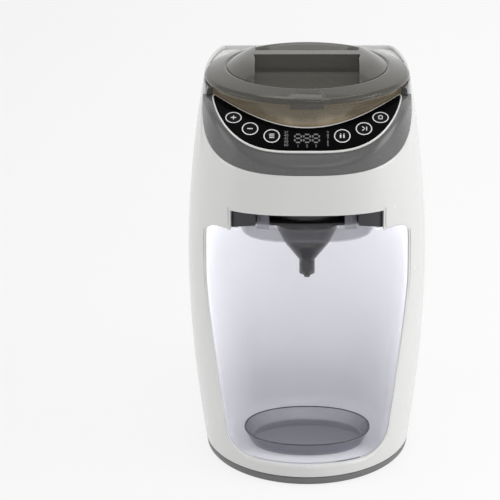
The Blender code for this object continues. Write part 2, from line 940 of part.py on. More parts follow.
def splash_ring(z):
    middle = (drawer_back - splash_front) / 2
    deep = (splash_front + drawer_back) / 2 - slide_gap
    ring = []
    for i in range(round_steps):
        angle = 2 * math.pi * i / round_steps
        ring.append((splash_half * power_curve(math.cos(angle), splash_power),
                     middle + deep * power_curve(math.sin(angle), splash_power), z))
    return ring


splash = loft("splash_plate", [splash_ring(z) for z in (splash_bottom, plate_low - gap)],
              bottom=True)
thicken(splash, splash_wall)
funnel_slope = (funnel_neck_radius - funnel_waist_radius) / (plate_high - funnel_waist_height)
splash_bore = funnel_waist_radius + funnel_slope * (splash_bottom + splash_wall
                                                    - funnel_waist_height) + 2 * slide_gap
splash_hole = as_cutter(cylinder("splash_hole", splash_bore, splash_bottom - overrun,
                                 splash_bottom + splash_wall + overrun, 0, funnel_y,
                                 steps=round_steps))
cut(splash, splash_hole)
link(splash, clear_plastic, "clear_plastic")

# Funnel: a round pan with a cone and a spout, hung in the drawer plate
pan_low = plate_high + gap
pan_high = notch_top - 2 * slide_gap - funnel_rim_drop
funnel = turned("funnel", [
    (funnel_top_radius, pan_high), (funnel_top_radius, pan_low), (funnel_neck_radius, pan_low),
    (funnel_waist_radius, funnel_waist_height), (spout_radius, spout_top),
    (spout_radius, spout_bottom), (spout_radius - funnel_wall, spout_bottom),
    (spout_radius - funnel_wall, spout_top),
    (funnel_waist_radius - funnel_wall, funnel_waist_height + funnel_wall / 2),
    (funnel_neck_radius - funnel_wall, pan_low + funnel_wall),
    (funnel_top_radius - funnel_wall, pan_low + funnel_wall),
    (funnel_top_radius - funnel_wall, pan_high)], (0, funnel_y, 0))
link(funnel, smoky, "smoky")


# Console: the gray bezel between the seam curve and the panel surface
def panel_z(y, offset=0):
    """Height of the crowned panel surface, or of one an offset above it."""
    along = min(0, y + console_back)
    radius = console_radius + offset
    return console_height + math.sqrt(radius ** 2 - along ** 2)


def seam_z(y, offset=0):
    return seam_height - math.sqrt((seam_radius - offset) ** 2 - (y + seam_back) ** 2)


def console_side(drop_top, drop_bottom):
    """The console's side view between its seam and its top surface."""
    front = -front_reach - overrun / 2
    rear = -console_inner_radius * console_rear_share
    outline = []
    for i in range(side_steps + 1):
        y = front + (rear - front) * i / side_steps
        outline.append((y, seam_z(y) - drop_bottom))
    top = []
    for i in range(side_steps + 1):
        y = rear + (front - rear) * i / side_steps
        top.append((y, panel_z(y, -drop_top)))
    while outline and top and outline[-1][1] > top[0][1]:
        outline.pop()
        top.pop(0)
    return outline + top


def console_body(name, inset, drop_top, drop_bottom):
    rings = [[(x, y, z) for x, y, z in front_ring(z, inset)]
             for z in levels(notch_top + overrun, shell_top, console_levels)]
    block = loft(name, rings, bottom=True, top=True)
    side = as_cutter(plate(name + "_side", console_side(drop_top, drop_bottom),
                           -body_half_width, body_half_width, "X"))
    keep_inside(block, side)
    return block


bezel = console_body("console_bezel", 0, 0, 0)
well_cutter = as_cutter(cylinder("bezel_well", console_inner_radius, notch_top, machine_height,
                                 steps=console_steps))
bezel_hollow = as_cutter(console_body("bezel_hollow", console_wall, console_wall, overrun))
hollow_core = as_cutter(cylinder("bezel_hollow_core", console_inner_radius + console_wall,
                                notch_top - overrun, machine_height + overrun,
                                steps=console_steps))
cut(bezel_hollow, hollow_core)
cut(bezel, well_cutter, bezel_hollow)
link(bezel, console_gray, "console_gray")


def panel_outer_radius(angle):
    """Distance from the container's axis to the panel's outer border."""
    across = abs(math.sin(angle)) / panel_half_width
    deep = math.cos(angle) / panel_front_depth
    return (across ** panel_power + deep ** panel_power) ** (-1 / panel_power)


def crescent(name, margin, low, high):
    """A crescent plate on the crowned surface, from low to high above it."""
    tip = math.radians(panel_sweep)
    while (panel_outer_radius(tip) - panel_inner_radius - 2 * margin) < panel_tip_width:
        tip -= math.radians(panel_sweep_step)
    steps = panel_steps
    rows = []
    for j in range(panel_rows + 1):
        row = []
        for i in range(steps + 1):
            share = -math.cos(math.pi * i / steps)
            angle = tip * share
            inner = panel_inner_radius + margin
            outer = panel_outer_radius(angle) - margin
            end = max(0, (abs(share) - 1 + panel_tip_share) / panel_tip_share)
            width = (outer - inner) * math.sqrt(max(0, 1 - end ** 2 * panel_tip_drop_share))
            radius = (inner + outer) / 2 + width * (j / panel_rows - 1 / 2)
            x, y = radius * math.sin(angle), -radius * math.cos(angle)
            row.append((x, y))
        rows.append(row)
    bottom = [[(x, y + low * panel_lean(y), panel_z(y) + low * panel_up(y)) for x, y in row]
              for row in rows]
    top = [[(x, y + high * panel_lean(y), panel_z(y) + high * panel_up(y)) for x, y in row]
           for row in rows]
    bm = bmesh.new()
    under = [[bm.verts.new(point) for point in row] for row in bottom]
    over = [[bm.verts.new(point) for point in row] for row in top]
    for j in range(panel_rows):
        for i in range(steps):
            bm.faces.new((over[j][i], over[j + 1][i], over[j + 1][i + 1], over[j][i + 1]))
            bm.faces.new((under[j][i], under[j][i + 1], under[j + 1][i + 1], under[j + 1][i]))
    for i in range(steps):
        bm.faces.new((over[0][i], over[0][i + 1], under[0][i + 1], under[0][i]))
        bm.faces.new((over[-1][i + 1], over[-1][i], under[-1][i], under[-1][i + 1]))
    for j in range(panel_rows):
        bm.faces.new((over[j + 1][0], over[j][0], under[j][0], under[j + 1][0]))
        bm.faces.new((over[j][-1], over[j + 1][-1], under[j + 1][-1], under[j][-1]))
    return from_bmesh(name, bm)


def panel_lean(y):
    return min(0, y + console_back) / console_radius


def panel_up(y):
    return math.sqrt(1 - panel_lean(y) ** 2)


def panel_place(x, y, above=0):
    """A matrix that stands on the panel at a point, with its Z along the normal."""
    tilt = -math.asin(panel_lean(y))
    spot = Vector((x, y + above * panel_lean(y), panel_z(y) + above * panel_up(y)))
    return Matrix.Translation(spot) @ Matrix.Rotation(tilt, 4, "X")


frame_low = gap
frame_high = frame_low + panel_thickness
overlay_low = frame_high - overlay_depth + gap
overlay_high = frame_high + gap
membrane_high = -console_wall - gap
membrane_low = membrane_high - membrane_thickness
panel_frame = crescent("panel_frame", 0, frame_low, frame_high)
overlay_pocket = as_cutter(crescent("overlay_pocket", panel_border, frame_high - overlay_depth,
                                    frame_high + overrun))
panel_overlay = crescent("panel_overlay", panel_border + gap, overlay_low, overlay_high)
membrane = crescent("key_membrane", membrane_margin, membrane_low, membrane_high)
cut(panel_frame, overlay_pocket)

key_top = overlay_high + key_rise
key_bottom = membrane_high + key_travel + gap
key_number = 0
for side in (-1, 1):
    for degrees in key_angles:
        key_number += 1
        angle = side * math.radians(degrees)
        reach = panel_inner_radius + key_radius_share * (panel_outer_radius(angle)
                                                         - panel_inner_radius)
        x, y = reach * math.sin(angle), -reach * math.cos(angle)
        hole = as_cutter(cylinder(f"key_hole_{key_number}", key_radius + key_clearance,
                                  membrane_high + gap / 2, key_top + overrun))
        hole.matrix_local = panel_place(x, y)
        cut(bezel, hole)
        cut(panel_frame, hole)
        cut(panel_overlay, hole)
        key = cylinder(f"key_{key_number}", key_radius, key_bottom, key_top)
        bevel(key, key_rise)
        link(key, key_black, "key_black")
        key.matrix_local = panel_place(x, y)

# Display block under the middle of the overlay
display_reach = panel_inner_radius + display_radius_share * (panel_outer_radius(0)
                                                             - panel_inner_radius)
display_top = frame_high - overlay_depth - gap
display = box("display_module", (-display_half_width, -display_half_height,
                                 display_top - display_depth),
              (display_half_width, display_half_height, display_top))
link(display, dark_plastic, "dark_plastic")
display.matrix_local = panel_place(0, -display_reach)
window = as_cutter(box("display_window", (-display_half_width - gap, -display_half_height - gap,
                                          membrane_low - overrun),
                       (display_half_width + gap, display_half_height + gap, display_top + gap)))
window.matrix_local = panel_place(0, -display_reach)
for piece in (bezel, membrane):
    cut(piece, window)
frame_window = as_cutter(box(
    "frame_window", (-display_half_width - gap, -display_half_height - gap, -overrun),
    (display_half_width + gap, display_half_height + gap, overlay_low - gap / 2)))
frame_window.matrix_local = panel_place(0, -display_reach)
cut(panel_frame, frame_window)
link(panel_frame, silver, "silver")
link(panel_overlay, panel_black, "panel_black")
link(membrane, dark_plastic, "dark_plastic")

# Well that holds the powder container, with the chute below its outlet
well_outer = console_inner_radius + well_wall
well = turned("container_well", [
    (well_outer, well_top), (well_outer, well_floor_top - well_floor),
    (hub_bore, well_floor_top - well_floor), (hub_bore, well_floor_top),
    (well_outer - well_wall, well_floor_top), (well_outer - well_wall, well_top)],
    steps=large_steps)
well_outlet = as_cutter(cylinder("well_outlet", outlet_radius + slide_gap,
                                 well_floor_top - well_floor - overrun,
                                 well_floor_top + overrun, 0, funnel_y, steps=round_steps))
cut(well, well_outlet)
link(well, natural_plastic, "natural_plastic")
chute_bottom = guide_top + gap
chute_top = well_floor_top - well_floor - gap
chute = turned("powder_chute", [
    (chute_outer, chute_top), (chute_outer, chute_bottom + chute_flange_height),
    (chute_flange, chute_bottom + chute_flange_height), (chute_flange, chute_bottom),
    (chute_outer - chute_wall, chute_bottom), (chute_outer - chute_wall, chute_top)],
    (0, funnel_y, 0), small_steps)
link(chute, natural_plastic, "natural_plastic")

# Powder container: bowl, lid and lid seal
bowl_bottom = well_floor_top + gap
bowl_floor_top = bowl_bottom + container_floor
flange_radius = container_radius + container_flange
bowl = turned("container_bowl", [
    (flange_radius, container_top), (flange_radius, container_top - container_flange_height),
    (container_radius, container_top - container_flange_height),
    (container_radius, bowl_bottom), (hub_bore, bowl_bottom), (hub_bore, bowl_floor_top),
    (container_radius - container_wall, bowl_floor_top),
    (container_radius - container_wall, container_top)], steps=large_steps)
bowl_outlet = as_cutter(cylinder("bowl_outlet", outlet_radius, bowl_bottom - overrun,
                                 bowl_floor_top + overrun, 0, funnel_y, steps=round_steps))
cut(bowl, bowl_outlet)
link(bowl, smoky, "smoky")

lid = turned("powder_lid", [
    (0, lid_dish_height), (lid_dish_radius, lid_dish_height),
    (lid_crest_radius, lid_crest_height), (lid_shoulder_radius, lid_shoulder_height),
    (lid_radius, lid_edge_top), (lid_radius, lid_bottom),
    (lid_radius - lid_skirt_wall, lid_bottom),
    (lid_radius - lid_skirt_wall, lid_edge_top - lid_wall / 2),
    (lid_plug_radius, lid_shoulder_height - lid_wall / 2),
    (lid_plug_radius, lid_plug_bottom), (lid_plug_radius - lid_plug_wall, lid_plug_bottom),
    (lid_plug_radius - lid_plug_wall, lid_shoulder_height - lid_wall / 2),
    (lid_crest_radius, lid_crest_height - lid_wall),
    (lid_dish_radius, lid_dish_height - lid_wall), (0, lid_dish_height - lid_wall)],
    steps=large_steps)
handle = box("handle_block", (-handle_half_length, -handle_half_thickness,
                              lid_dish_height - lid_wall / 2),
             (handle_half_length, handle_half_thickness, machine_height))
as_cutter(bevel(handle, handle_bevel))
handle_hollow = as_cutter(box(
    "handle_hollow", (-handle_half_length + lid_wall, -handle_half_thickness + lid_wall,
                      lid_dish_height - lid_wall - overrun),
    (handle_half_length - lid_wall, handle_half_thickness - lid_wall,
     machine_height - lid_wall)))
tab = as_cutter(box("lid_tab", (-tab_half_width, -lid_radius, tab_bottom),
                    (tab_half_width, -lid_radius + tab_thickness, lid_edge_top)))
join(lid, handle, tab)
cut(lid, handle_hollow)
link(lid, smoky, "smoky")
seal_outer = container_radius - container_wall - gap
seal_inner = lid_plug_radius + gap
seal = turned("lid_seal", [
    (seal_outer, lid_plug_bottom + seal_height), (seal_outer, lid_plug_bottom),
    (seal_inner, lid_plug_bottom), (seal_inner, lid_plug_bottom + seal_height)],
    steps=large_steps)
link(seal, rubber, "rubber")

# Dosing wheel, stirrer, shaft and nut inside the container
wheel_bottom = bowl_floor_top + gap
wheel_top = wheel_bottom + wheel_thickness
rotor_bore = rotor_radius + rotor_bore_clearance
wheel = turned("dosing_wheel", [
    (wheel_radius, wheel_top), (wheel_radius, wheel_bottom), (rotor_bore, wheel_bottom),
    (rotor_bore, wheel_top)])
for i in range(wheel_pockets):
    angle = 2 * math.pi * i / wheel_pockets - math.pi / 2
    pocket = as_cutter(cylinder(f"wheel_pocket_{i + 1}", wheel_pocket_radius,
                                wheel_bottom - overrun, wheel_top + overrun,
                                -funnel_y * math.cos(angle), -funnel_y * math.sin(angle)))
    cut(wheel, pocket)
link(wheel, natural_plastic, "natural_plastic")
scraper_low = wheel_top + gap
scraper = box("scraper", (-scraper_half_width,
                          -math.sqrt((container_radius - container_wall - gap) ** 2
                                     - scraper_half_width ** 2), scraper_low),
              (scraper_half_width, -scraper_inner, scraper_low + scraper_thickness))
link(scraper, natural_plastic, "natural_plastic")
hub_low = wheel_top + gap
arm_low = hub_low + stirrer_lift
arm_high = arm_low + stirrer_height
stirrer = turned("stirrer", [
    (stirrer_hub_radius, arm_high + stirrer_lift), (stirrer_hub_radius, hub_low),
    (rotor_bore, hub_low), (rotor_bore, arm_high + stirrer_lift)], steps=small_steps)
for side, word in ((-1, "left"), (1, "right")):
    start, end = sorted((side * (rotor_bore + gap), side * stirrer_reach))
    arm = as_cutter(box(f"stirrer_arm_{word}", (start, -stirrer_half_width, arm_low),
                        (end, stirrer_half_width, arm_high)))
    finger = as_cutter(cylinder(f"stirrer_finger_{word}", finger_radius,
                                arm_high - stirrer_height / 2, arm_high + finger_height,
                                side * (stirrer_reach - 2 * finger_radius)))
    join(stirrer, arm, finger)
link(stirrer, natural_plastic, "natural_plastic")
rotor_low = well_floor_top + 2 * gap
rotor = cylinder("rotor_shaft", rotor_radius, rotor_low, rotor_top)
tongue_slot = as_cutter(box(
    "tongue_slot", (-tongue_half_length - tongue_clearance, -tongue_half_width - tongue_clearance,
                    rotor_low - overrun),
    (tongue_half_length + tongue_clearance, tongue_half_width + tongue_clearance,
     rotor_low + tongue_height + tongue_clearance)))
cut(rotor, tongue_slot)
link(rotor, steel, "steel")
nut_bore = rotor_bore / math.cos(math.pi / nut_sides) + gap
nut_low = arm_high + stirrer_lift + gap
nut = turned("hub_nut", [
    (nut_radius, nut_low + nut_height), (nut_radius, nut_low), (nut_bore, nut_low),
    (nut_bore, nut_low + nut_height)], steps=nut_sides)
link(nut, natural_plastic, "natural_plastic")


# Drive under the well: plate on posts, motor, pinion, gear and shaft
def gear_wheel(name, outer, teeth, bore, place):
    outline = []
    for i in range(teeth):
        for share, depth in zip(tooth_shares, (gear_tooth, gear_tooth, 0, 0)):
            radius = outer - depth
            angle = 2 * math.pi * (i + share) / teeth
            outline.append((radius * math.cos(angle), radius * math.sin(angle)))
    wheel_disc = plate(name, outline, gear_bottom, gear_bottom + gear_height, place=place)
    hole = as_cutter(cylinder(name + "_bore", bore, gear_bottom - overrun,
                              gear_bottom + gear_height + overrun, place=place))
    return cut(wheel_disc, hole)


well_underside = well_floor_top - well_floor
drive_plate_piece = box("drive_plate", (-drive_plate_half, drive_plate_front,
                                        drive_plate_top - drive_plate),
                        (drive_plate_half, drive_plate_rear, drive_plate_top))
motor_hole = as_cutter(cylinder("motor_hole", motor_boss_radius, drive_plate_top - overrun * 2,
                                drive_plate_top + overrun, 0, motor_y))
cut(drive_plate_piece, motor_hole)
post_number = 0
for x in (-post_x, post_x):
    for y in (post_front_y, post_rear_y):
        post_number += 1
        post = as_cutter(cylinder(f"plate_post_{post_number}", post_radius,
                                  drive_plate_top - drive_plate / 2, well_underside - gap, x, y))
        join(drive_plate_piece, post)
link(drive_plate_piece, natural_plastic, "natural_plastic")
drive_gear = gear_wheel("drive_gear", gear_outer, gear_teeth, rotor_bore, (0, 0, 0))
link(drive_gear, natural_plastic, "natural_plastic")
shaft_top = well_floor_top
drive_shaft = cylinder("drive_shaft", rotor_radius, drive_plate_top + gap, shaft_top)
tongue = as_cutter(box("drive_tongue", (-tongue_half_length, -tongue_half_width,
                                        shaft_top - tongue_height / 2),
                       (tongue_half_length, tongue_half_width,
                        rotor_low + tongue_height - gap)))
join(drive_shaft, tongue)
link(drive_shaft, steel, "steel")
motor_top = drive_plate_top - drive_plate - gap
motor = turned("dosing_motor", [
    (0, gear_bottom + gear_height + gap), (motor_shaft_radius, gear_bottom + gear_height + gap),
    (motor_shaft_radius, motor_top), (motor_radius, motor_top),
    (motor_radius, motor_top - motor_height), (0, motor_top - motor_height)],
    (0, motor_y, 0), round_steps)
link(motor, steel, "steel")
pinion = gear_wheel("motor_pinion", pinion_outer, pinion_teeth, motor_shaft_radius + gap,
                    (0, motor_y, 0))
link(pinion, natural_plastic, "natural_plastic")

# Water tank with its lid and valve, and the seat that the valve opens on
tank = loft("water_tank", [tank_ring(z, tank_inset) for z in
                           levels(tank_bottom, tank_top, 6, rear_mid_height)], bottom=True)
thicken(tank, tank_wall)
valve_opening = as_cutter(cylinder("valve_opening", valve_hole, tank_bottom - overrun,
                                   tank_bottom + tank_wall + overrun, 0, valve_y))
cut(tank, valve_opening)
link(tank, clear_plastic, "clear_plastic")
tank_lid_low = tank_top + gap
tank_lid = loft("tank_lid", [tank_ring(z, tank_inset) for z in
                             (tank_lid_low, tank_lid_low + tank_lid_height)],
                bottom=True, top=True)
lid_plug_inset = tank_inset + tank_wall + slide_gap
lid_plug = as_cutter(loft("tank_lid_plug", [tank_ring(z, lid_plug_inset) for z in
                                            (tank_top - tank_lid_plug,
                                             tank_lid_low + tank_lid_height / 2)],
                          bottom=True, top=True))
lid_plug_core = as_cutter(loft(
    "tank_lid_core", [tank_ring(z, lid_plug_inset + tank_lid_plug_inset) for z in
                      (tank_top - tank_lid_plug - overrun, tank_lid_low)],
    bottom=True, top=True))
join(tank_lid, lid_plug)
cut(tank_lid, lid_plug_core)
link(tank_lid, dark_plastic, "dark_plastic")
valve_low = tank_bottom + tank_wall + gap
seat_pin_top = shelf_top - seat_pin_drop
valve = turned("tank_valve", [
    (0, valve_low + valve_disc_height), (valve_disc, valve_low + valve_disc_height),
    (valve_disc, valve_low), (valve_stem, valve_low), (valve_stem, seat_pin_top + gap),
    (0, seat_pin_top + gap)], (0, valve_y, 0), small_steps)
link(valve, rubber, "rubber")
flange_top = shelf_top - shelf_wall - gap
seat_top = shelf_top - gap
seat_floor_top = seat_top - seat_depth + seat_floor
seat = turned("tank_seat", [
    (0, seat_pin_top), (seat_pin, seat_pin_top), (seat_pin, seat_floor_top),
    (seat_bore, seat_floor_top), (seat_bore, seat_top), (seat_radius, seat_top),
    (seat_radius, flange_top), (seat_flange, flange_top),
    (seat_flange, flange_top - seat_flange_height),
    (seat_radius, flange_top - seat_flange_height),
    (seat_radius, seat_top - seat_depth), (0, seat_top - seat_depth)],
    (0, valve_y, 0), small_steps)
link(seat, dark_plastic, "dark_plastic")

# Pump, heater and hoses
stand = base_top + gap
pump_neck = pump_radius * pump_neck_share
pump_shoulder = stand + pump_height * pump_shoulder_share
pump = turned("water_pump", [
    (0, stand + pump_height), (pump_neck, stand + pump_height), (pump_neck, pump_shoulder),
    (pump_radius, pump_shoulder), (pump_radius, stand), (0, stand)],
    (pump_x, pump_y, 0), round_steps)
link(pump, dark_plastic, "dark_plastic")
heater = turned("water_heater", [
    (0, stand + heater_height), (heater_radius, stand + heater_height), (heater_radius, stand),
    (0, stand)], (heater_x, heater_y, 0), round_steps)
link(heater, steel, "steel")
pump_touch = pump_radius + gap
port_aim = Vector((1, -1, 0)).normalized()
pump_port = Vector((pump_x, pump_y, hose_height)) - port_aim * pump_touch
inlet_route = [
    (0, valve_y - seat_radius - gap, hose_height), (0, rear_wall_depth, hose_height),
    pump_port - port_aim * hose_join, pump_port - port_aim * hose_straight, pump_port]
inlet_hose = tube("inlet_hose", smooth_route(inlet_route, hose_points), hose_radius)
link(inlet_hose, hose_white, "hose_white")
pump_head = pump_neck + gap
heater_touch = heater_radius + gap
pump_route = [
    (pump_x - pump_head, pump_y, pump_port_height),
    (pump_x - pump_head - hose_straight, pump_y, pump_port_height),
    (pump_x - pump_head - hose_turn, pump_y, pump_port_height),
    (heater_x + heater_touch + hose_turn, heater_y, heater_port_height),
    (heater_x + heater_touch + hose_straight, heater_y, heater_port_height),
    (heater_x + heater_touch, heater_y, heater_port_height)]
pump_hose = tube("pump_hose", smooth_route(pump_route, hose_points), hose_radius)
link(pump_hose, hose_white, "hose_white")
heater_top = stand + heater_height
rise_top = nozzle_port_height
outlet_route = [
    (heater_x, heater_y, heater_top + gap),
    (heater_x, heater_y, heater_top + hose_height),
    (heater_x - hose_bow, heater_y, (heater_top + rise_top) / 2),
    (heater_x - hose_bow, heater_y * rise_way_share, rise_top - rise_drop),
    (heater_x, heater_y * rise_start_share, rise_top),
    (heater_x * across_share, nozzle_y * across_share, rise_top),
    (heater_x * across_end_share, nozzle_y, rise_top),
    (-nozzle_radius - gap, nozzle_y, rise_top)]
outlet_hose = tube("outlet_hose", smooth_route(outlet_route, 2 * hose_points), hose_radius)
link(outlet_hose, hose_white, "hose_white")
nozzle_low = guide_top + gap
nozzle = turned("water_nozzle", [
    (nozzle_radius, nozzle_low + nozzle_height), (nozzle_radius, nozzle_low),
    (nozzle_radius / 2, nozzle_low), (nozzle_radius / 2, guide_top - guide_wall),
    (nozzle_bore / 2, guide_top - guide_wall), (nozzle_bore / 2, nozzle_low + nozzle_height)],
    (0, nozzle_y, 0), small_steps)
link(nozzle, dark_plastic, "dark_plastic")

# Circuit boards on their posts
inner_wall_y = rear_wall_depth + gap - shell_wall
board_rear = inner_wall_y - gap - control_board_post
control_board = box("control_board", (-control_board_half, board_rear - board_thickness,
                                      control_board_bottom),
                    (control_board_half, board_rear, control_board_top))
post_number = 0
for x in (-control_board_half + board_post_inset, control_board_half - board_post_inset):
    for z in (control_board_bottom + board_post_inset, control_board_top - board_post_inset):
        post_number += 1
        post = as_cutter(cylinder(f"control_post_{post_number}", board_post_radius,
                                  board_rear - board_thickness / 2, inner_wall_y - gap, x, -z,
                                  "Y"))
        join(control_board, post)
link(control_board, circuit_green, "circuit_green")
power_low = stand + power_board_post
power_board = box("power_board", (-power_board_half, power_board_front, power_low),
                  (power_board_half, power_board_rear, power_low + board_thickness))
post_number = 0
for x in (-power_board_half + board_post_inset, power_board_half - board_post_inset):
    for y in (power_board_front + board_post_inset, power_board_rear - board_post_inset):
        post_number += 1
        post = as_cutter(cylinder(f"power_post_{post_number}", board_post_radius, stand,
                                  power_low + board_thickness / 2, x, y))
        join(power_board, post)
link(power_board, circuit_green, "circuit_green")
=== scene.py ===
# %% [markdown]
# Baby formula maker
#
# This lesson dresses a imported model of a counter-top machine that doses powder and heats
# water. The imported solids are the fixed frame: they say where each piece is and how big it
# is. Here the pieces that show get fine meshes, and every piece gets its finish.

# %% Load the frame
import json
import math

import bpy
from mathutils import Matrix, Vector


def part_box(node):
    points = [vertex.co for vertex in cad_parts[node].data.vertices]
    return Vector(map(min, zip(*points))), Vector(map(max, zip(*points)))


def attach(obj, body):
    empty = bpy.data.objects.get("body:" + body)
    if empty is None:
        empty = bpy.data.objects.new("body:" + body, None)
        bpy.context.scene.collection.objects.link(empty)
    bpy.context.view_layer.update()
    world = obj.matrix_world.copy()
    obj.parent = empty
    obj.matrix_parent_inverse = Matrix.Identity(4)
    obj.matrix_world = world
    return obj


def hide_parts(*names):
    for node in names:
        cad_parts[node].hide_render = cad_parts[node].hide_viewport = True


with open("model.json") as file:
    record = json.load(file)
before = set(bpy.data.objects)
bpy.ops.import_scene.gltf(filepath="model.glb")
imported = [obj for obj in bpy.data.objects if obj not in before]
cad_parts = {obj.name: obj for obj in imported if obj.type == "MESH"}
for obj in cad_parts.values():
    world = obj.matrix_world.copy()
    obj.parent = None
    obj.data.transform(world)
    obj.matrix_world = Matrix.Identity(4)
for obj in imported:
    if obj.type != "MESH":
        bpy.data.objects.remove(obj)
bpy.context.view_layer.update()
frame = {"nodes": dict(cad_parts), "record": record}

nodes = frame["nodes"]
bpy.ops.object.select_all(action="DESELECT")

# %% [markdown]
# The machine is built round the upright axis of its powder container, which lies a little
# in front of the middle of its foot. All outlines below are measured from that axis, so its
# place is read from the container's own box first.

# %% The container's axis
mm = 0.001
bowl_low, bowl_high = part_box("container_bowl")
axis_y = (bowl_low.y + bowl_high.y) / 2
print("container axis at y", round(axis_y / mm, 2), "mm")


def placed(x, y, z):
    """A point measured from the container's axis, in the frame."""
    return Vector((x, y + axis_y, z))


# %% [markdown]
# The camera comes first, because every choice of detail depends on what it sees. It stands
# 3.5 m in front of the container, looks down by 19 degrees and keeps the machine right of
# the middle. A long lens from far away keeps the upright lines almost parallel.

# %% Camera
camera_distance = 3.5
camera_height = 1.423
camera_pitch = math.radians(19.2277)
camera_yaw = math.radians(0.933)
camera_roll = math.radians(0.307)
lens_mm = 266.9
sensor_mm = 36.0

camera_data = bpy.data.cameras.new("camera")
camera_data.sensor_width = sensor_mm
camera_data.lens = lens_mm
camera_data.clip_end = 30
camera = bpy.data.objects.new("camera", camera_data)
bpy.context.scene.collection.objects.link(camera)
turn = (Matrix.Rotation(camera_yaw, 4, "Z")
        @ Matrix.Rotation(math.radians(90) - camera_pitch, 4, "X")
        @ Matrix.Rotation(-camera_roll, 4, "Z"))
camera.matrix_world = Matrix.Translation(placed(0, -camera_distance, camera_height)) @ turn
bpy.context.scene.camera = camera
bpy.context.scene.view_settings.view_transform = "Standard"
print("camera", [round(v, 3) for v in camera.location])

# %% [markdown]
# A finish is a small node tree. Effects that many finishes share are node groups: one for
# the fine uneven skin that moulded plastic has, one for the faint smudges of hands, and one
# for dust that settles on what faces up. Each group puts out only masks and heights, and
# the shader stays in the material, with its plain numbers on its own sockets.

# %% Node helpers, and the groups that the finishes share
def add_node(tree, kind, **settings):
    node = tree.nodes.new(kind)
    for key, value in settings.items():
        setattr(node, key, value)
    return node


def give(tree, socket, value):
    """Set one socket to a number, a colour triple or what another socket puts out."""
    if isinstance(value, bpy.types.NodeSocket):
        tree.links.new(value, socket)
    else:
        socket.default_value = (*value, 1) if isinstance(value, tuple) else value


def feed(tree, node, **values):
    """Set a node's inputs by their names, with _ for a blank."""
    for label, value in values.items():
        give(tree, node.inputs[label.replace("_", " ")], value)
    return node


def new_group(name, outputs, **inputs):
    """A shader node group with named number sockets, its input node and its output node."""
    group = bpy.data.node_groups.new(name, "ShaderNodeTree")
    for label, value in inputs.items():
        socket = group.interface.new_socket(label.replace("_", " "), in_out="INPUT",
                                            socket_type="NodeSocketFloat")
        socket.default_value = value
    for label in outputs:
        group.interface.new_socket(label, in_out="OUTPUT", socket_type="NodeSocketFloat")
    return group, group.nodes.new("NodeGroupInput"), group.nodes.new("NodeGroupOutput")


def own_place(tree):
    """The object's own coordinates, in metres."""
    return add_node(tree, "ShaderNodeTexCoord").outputs["Object"]


def parts_of(tree, vector):
    return feed(tree, add_node(tree, "ShaderNodeSeparateXYZ"), Vector=vector).outputs


def noise_in(tree, coordinates, scale, detail=3.0, roughness=0.5):
    noise = add_node(tree, "ShaderNodeTexNoise")
    return feed(tree, noise, Vector=coordinates, Scale=scale, Detail=detail,
                Roughness=roughness).outputs["Fac"]


def spread(tree, value, from_low, from_high, to_low, to_high):
    """The value taken from one range to another, kept inside it."""
    node = add_node(tree, "ShaderNodeMapRange", clamp=True)
    return feed(tree, node, Value=value, From_Min=from_low, From_Max=from_high,
                To_Min=to_low, To_Max=to_high).outputs["Result"]


def calc(tree, operation, first, second):
    node = add_node(tree, "ShaderNodeMath", operation=operation)
    for socket, value in zip(node.inputs, (first, second)):
        give(tree, socket, value)
    return node.outputs["Value"]


def build_moulded_skin():
    """Fine unevenness of moulded plastic, and slow waves from its shrinking."""
    tree, start, end = new_group("moulded_skin", ("Grain", "Wave"), Grain_Scale=2600.0,
                                 Wave_Scale=35.0)
    here = own_place(tree)
    feed(tree, end, Grain=noise_in(tree, here, start.outputs["Grain Scale"], 2.0),
         Wave=noise_in(tree, here, start.outputs["Wave Scale"], 2.0))
    return tree


def build_hand_smudges():
    """Soft patches where hands have touched a glossy surface."""
    tree, start, end = new_group("hand_smudges", ("Smudge",), Scale=42.0, Amount=0.5)
    noise = noise_in(tree, own_place(tree), start.outputs["Scale"], 5.0, 0.62)
    patches = spread(tree, noise, 0.48, 0.72, 0.0, 1.0)
    feed(tree, end, Smudge=calc(tree, "MULTIPLY", patches, start.outputs["Amount"]))
    return tree


def build_settled_dust():
    """A mask of the faces that look up, broken up by noise."""
    tree, start, end = new_group("settled_dust", ("Dust",), Scale=240.0, Amount=0.3)
    facing = add_node(tree, "ShaderNodeNewGeometry").outputs["Normal"]
    upward = spread(tree, parts_of(tree, facing)["Z"], 0.55, 1.0, 0.0, 1.0)
    noise = noise_in(tree, own_place(tree), start.outputs["Scale"], 6.0, 0.7)
    specks = spread(tree, noise, 0.42, 0.75, 0.0, 1.0)
    dust = calc(tree, "MULTIPLY", upward, specks)
    feed(tree, end, Dust=calc(tree, "MULTIPLY", dust, start.outputs["Amount"]))
    return tree


moulded_skin = build_moulded_skin()
hand_smudges = build_hand_smudges()
settled_dust = build_settled_dust()
print("node groups:", [group.name for group in bpy.data.node_groups])

# %% [markdown]
# One maker of plastics serves every moulded piece: white housing, gray console, dark
# drawer. Its colour drifts a little along the slow waves, its roughness rises in smudges
# and dust, and its skin gives a bump so small that it only breaks the reflections.

# %% Finish: moulded plastic
plastic_ior = 1.49
skin_depth = 0.00002


def group_node(tree, group, **values):
    return feed(tree, add_node(tree, "ShaderNodeGroup", node_tree=group), **values)


def mixed(tree, factor, first, second):
    """Two colours mixed by a mask; a colour is a triple or a socket."""
    node = add_node(tree, "ShaderNodeMix", data_type="RGBA")
    give(tree, node.inputs["Factor"], factor)
    for label, colour in (("A", first), ("B", second)):
        socket = [s for s in node.inputs if s.name == label and s.type == "RGBA"][0]
        give(tree, socket, colour)
    return [s for s in node.outputs if s.type == "RGBA"][0]


def scaled(colour, factor):
    return tuple(min(1.0, c * factor) for c in colour)


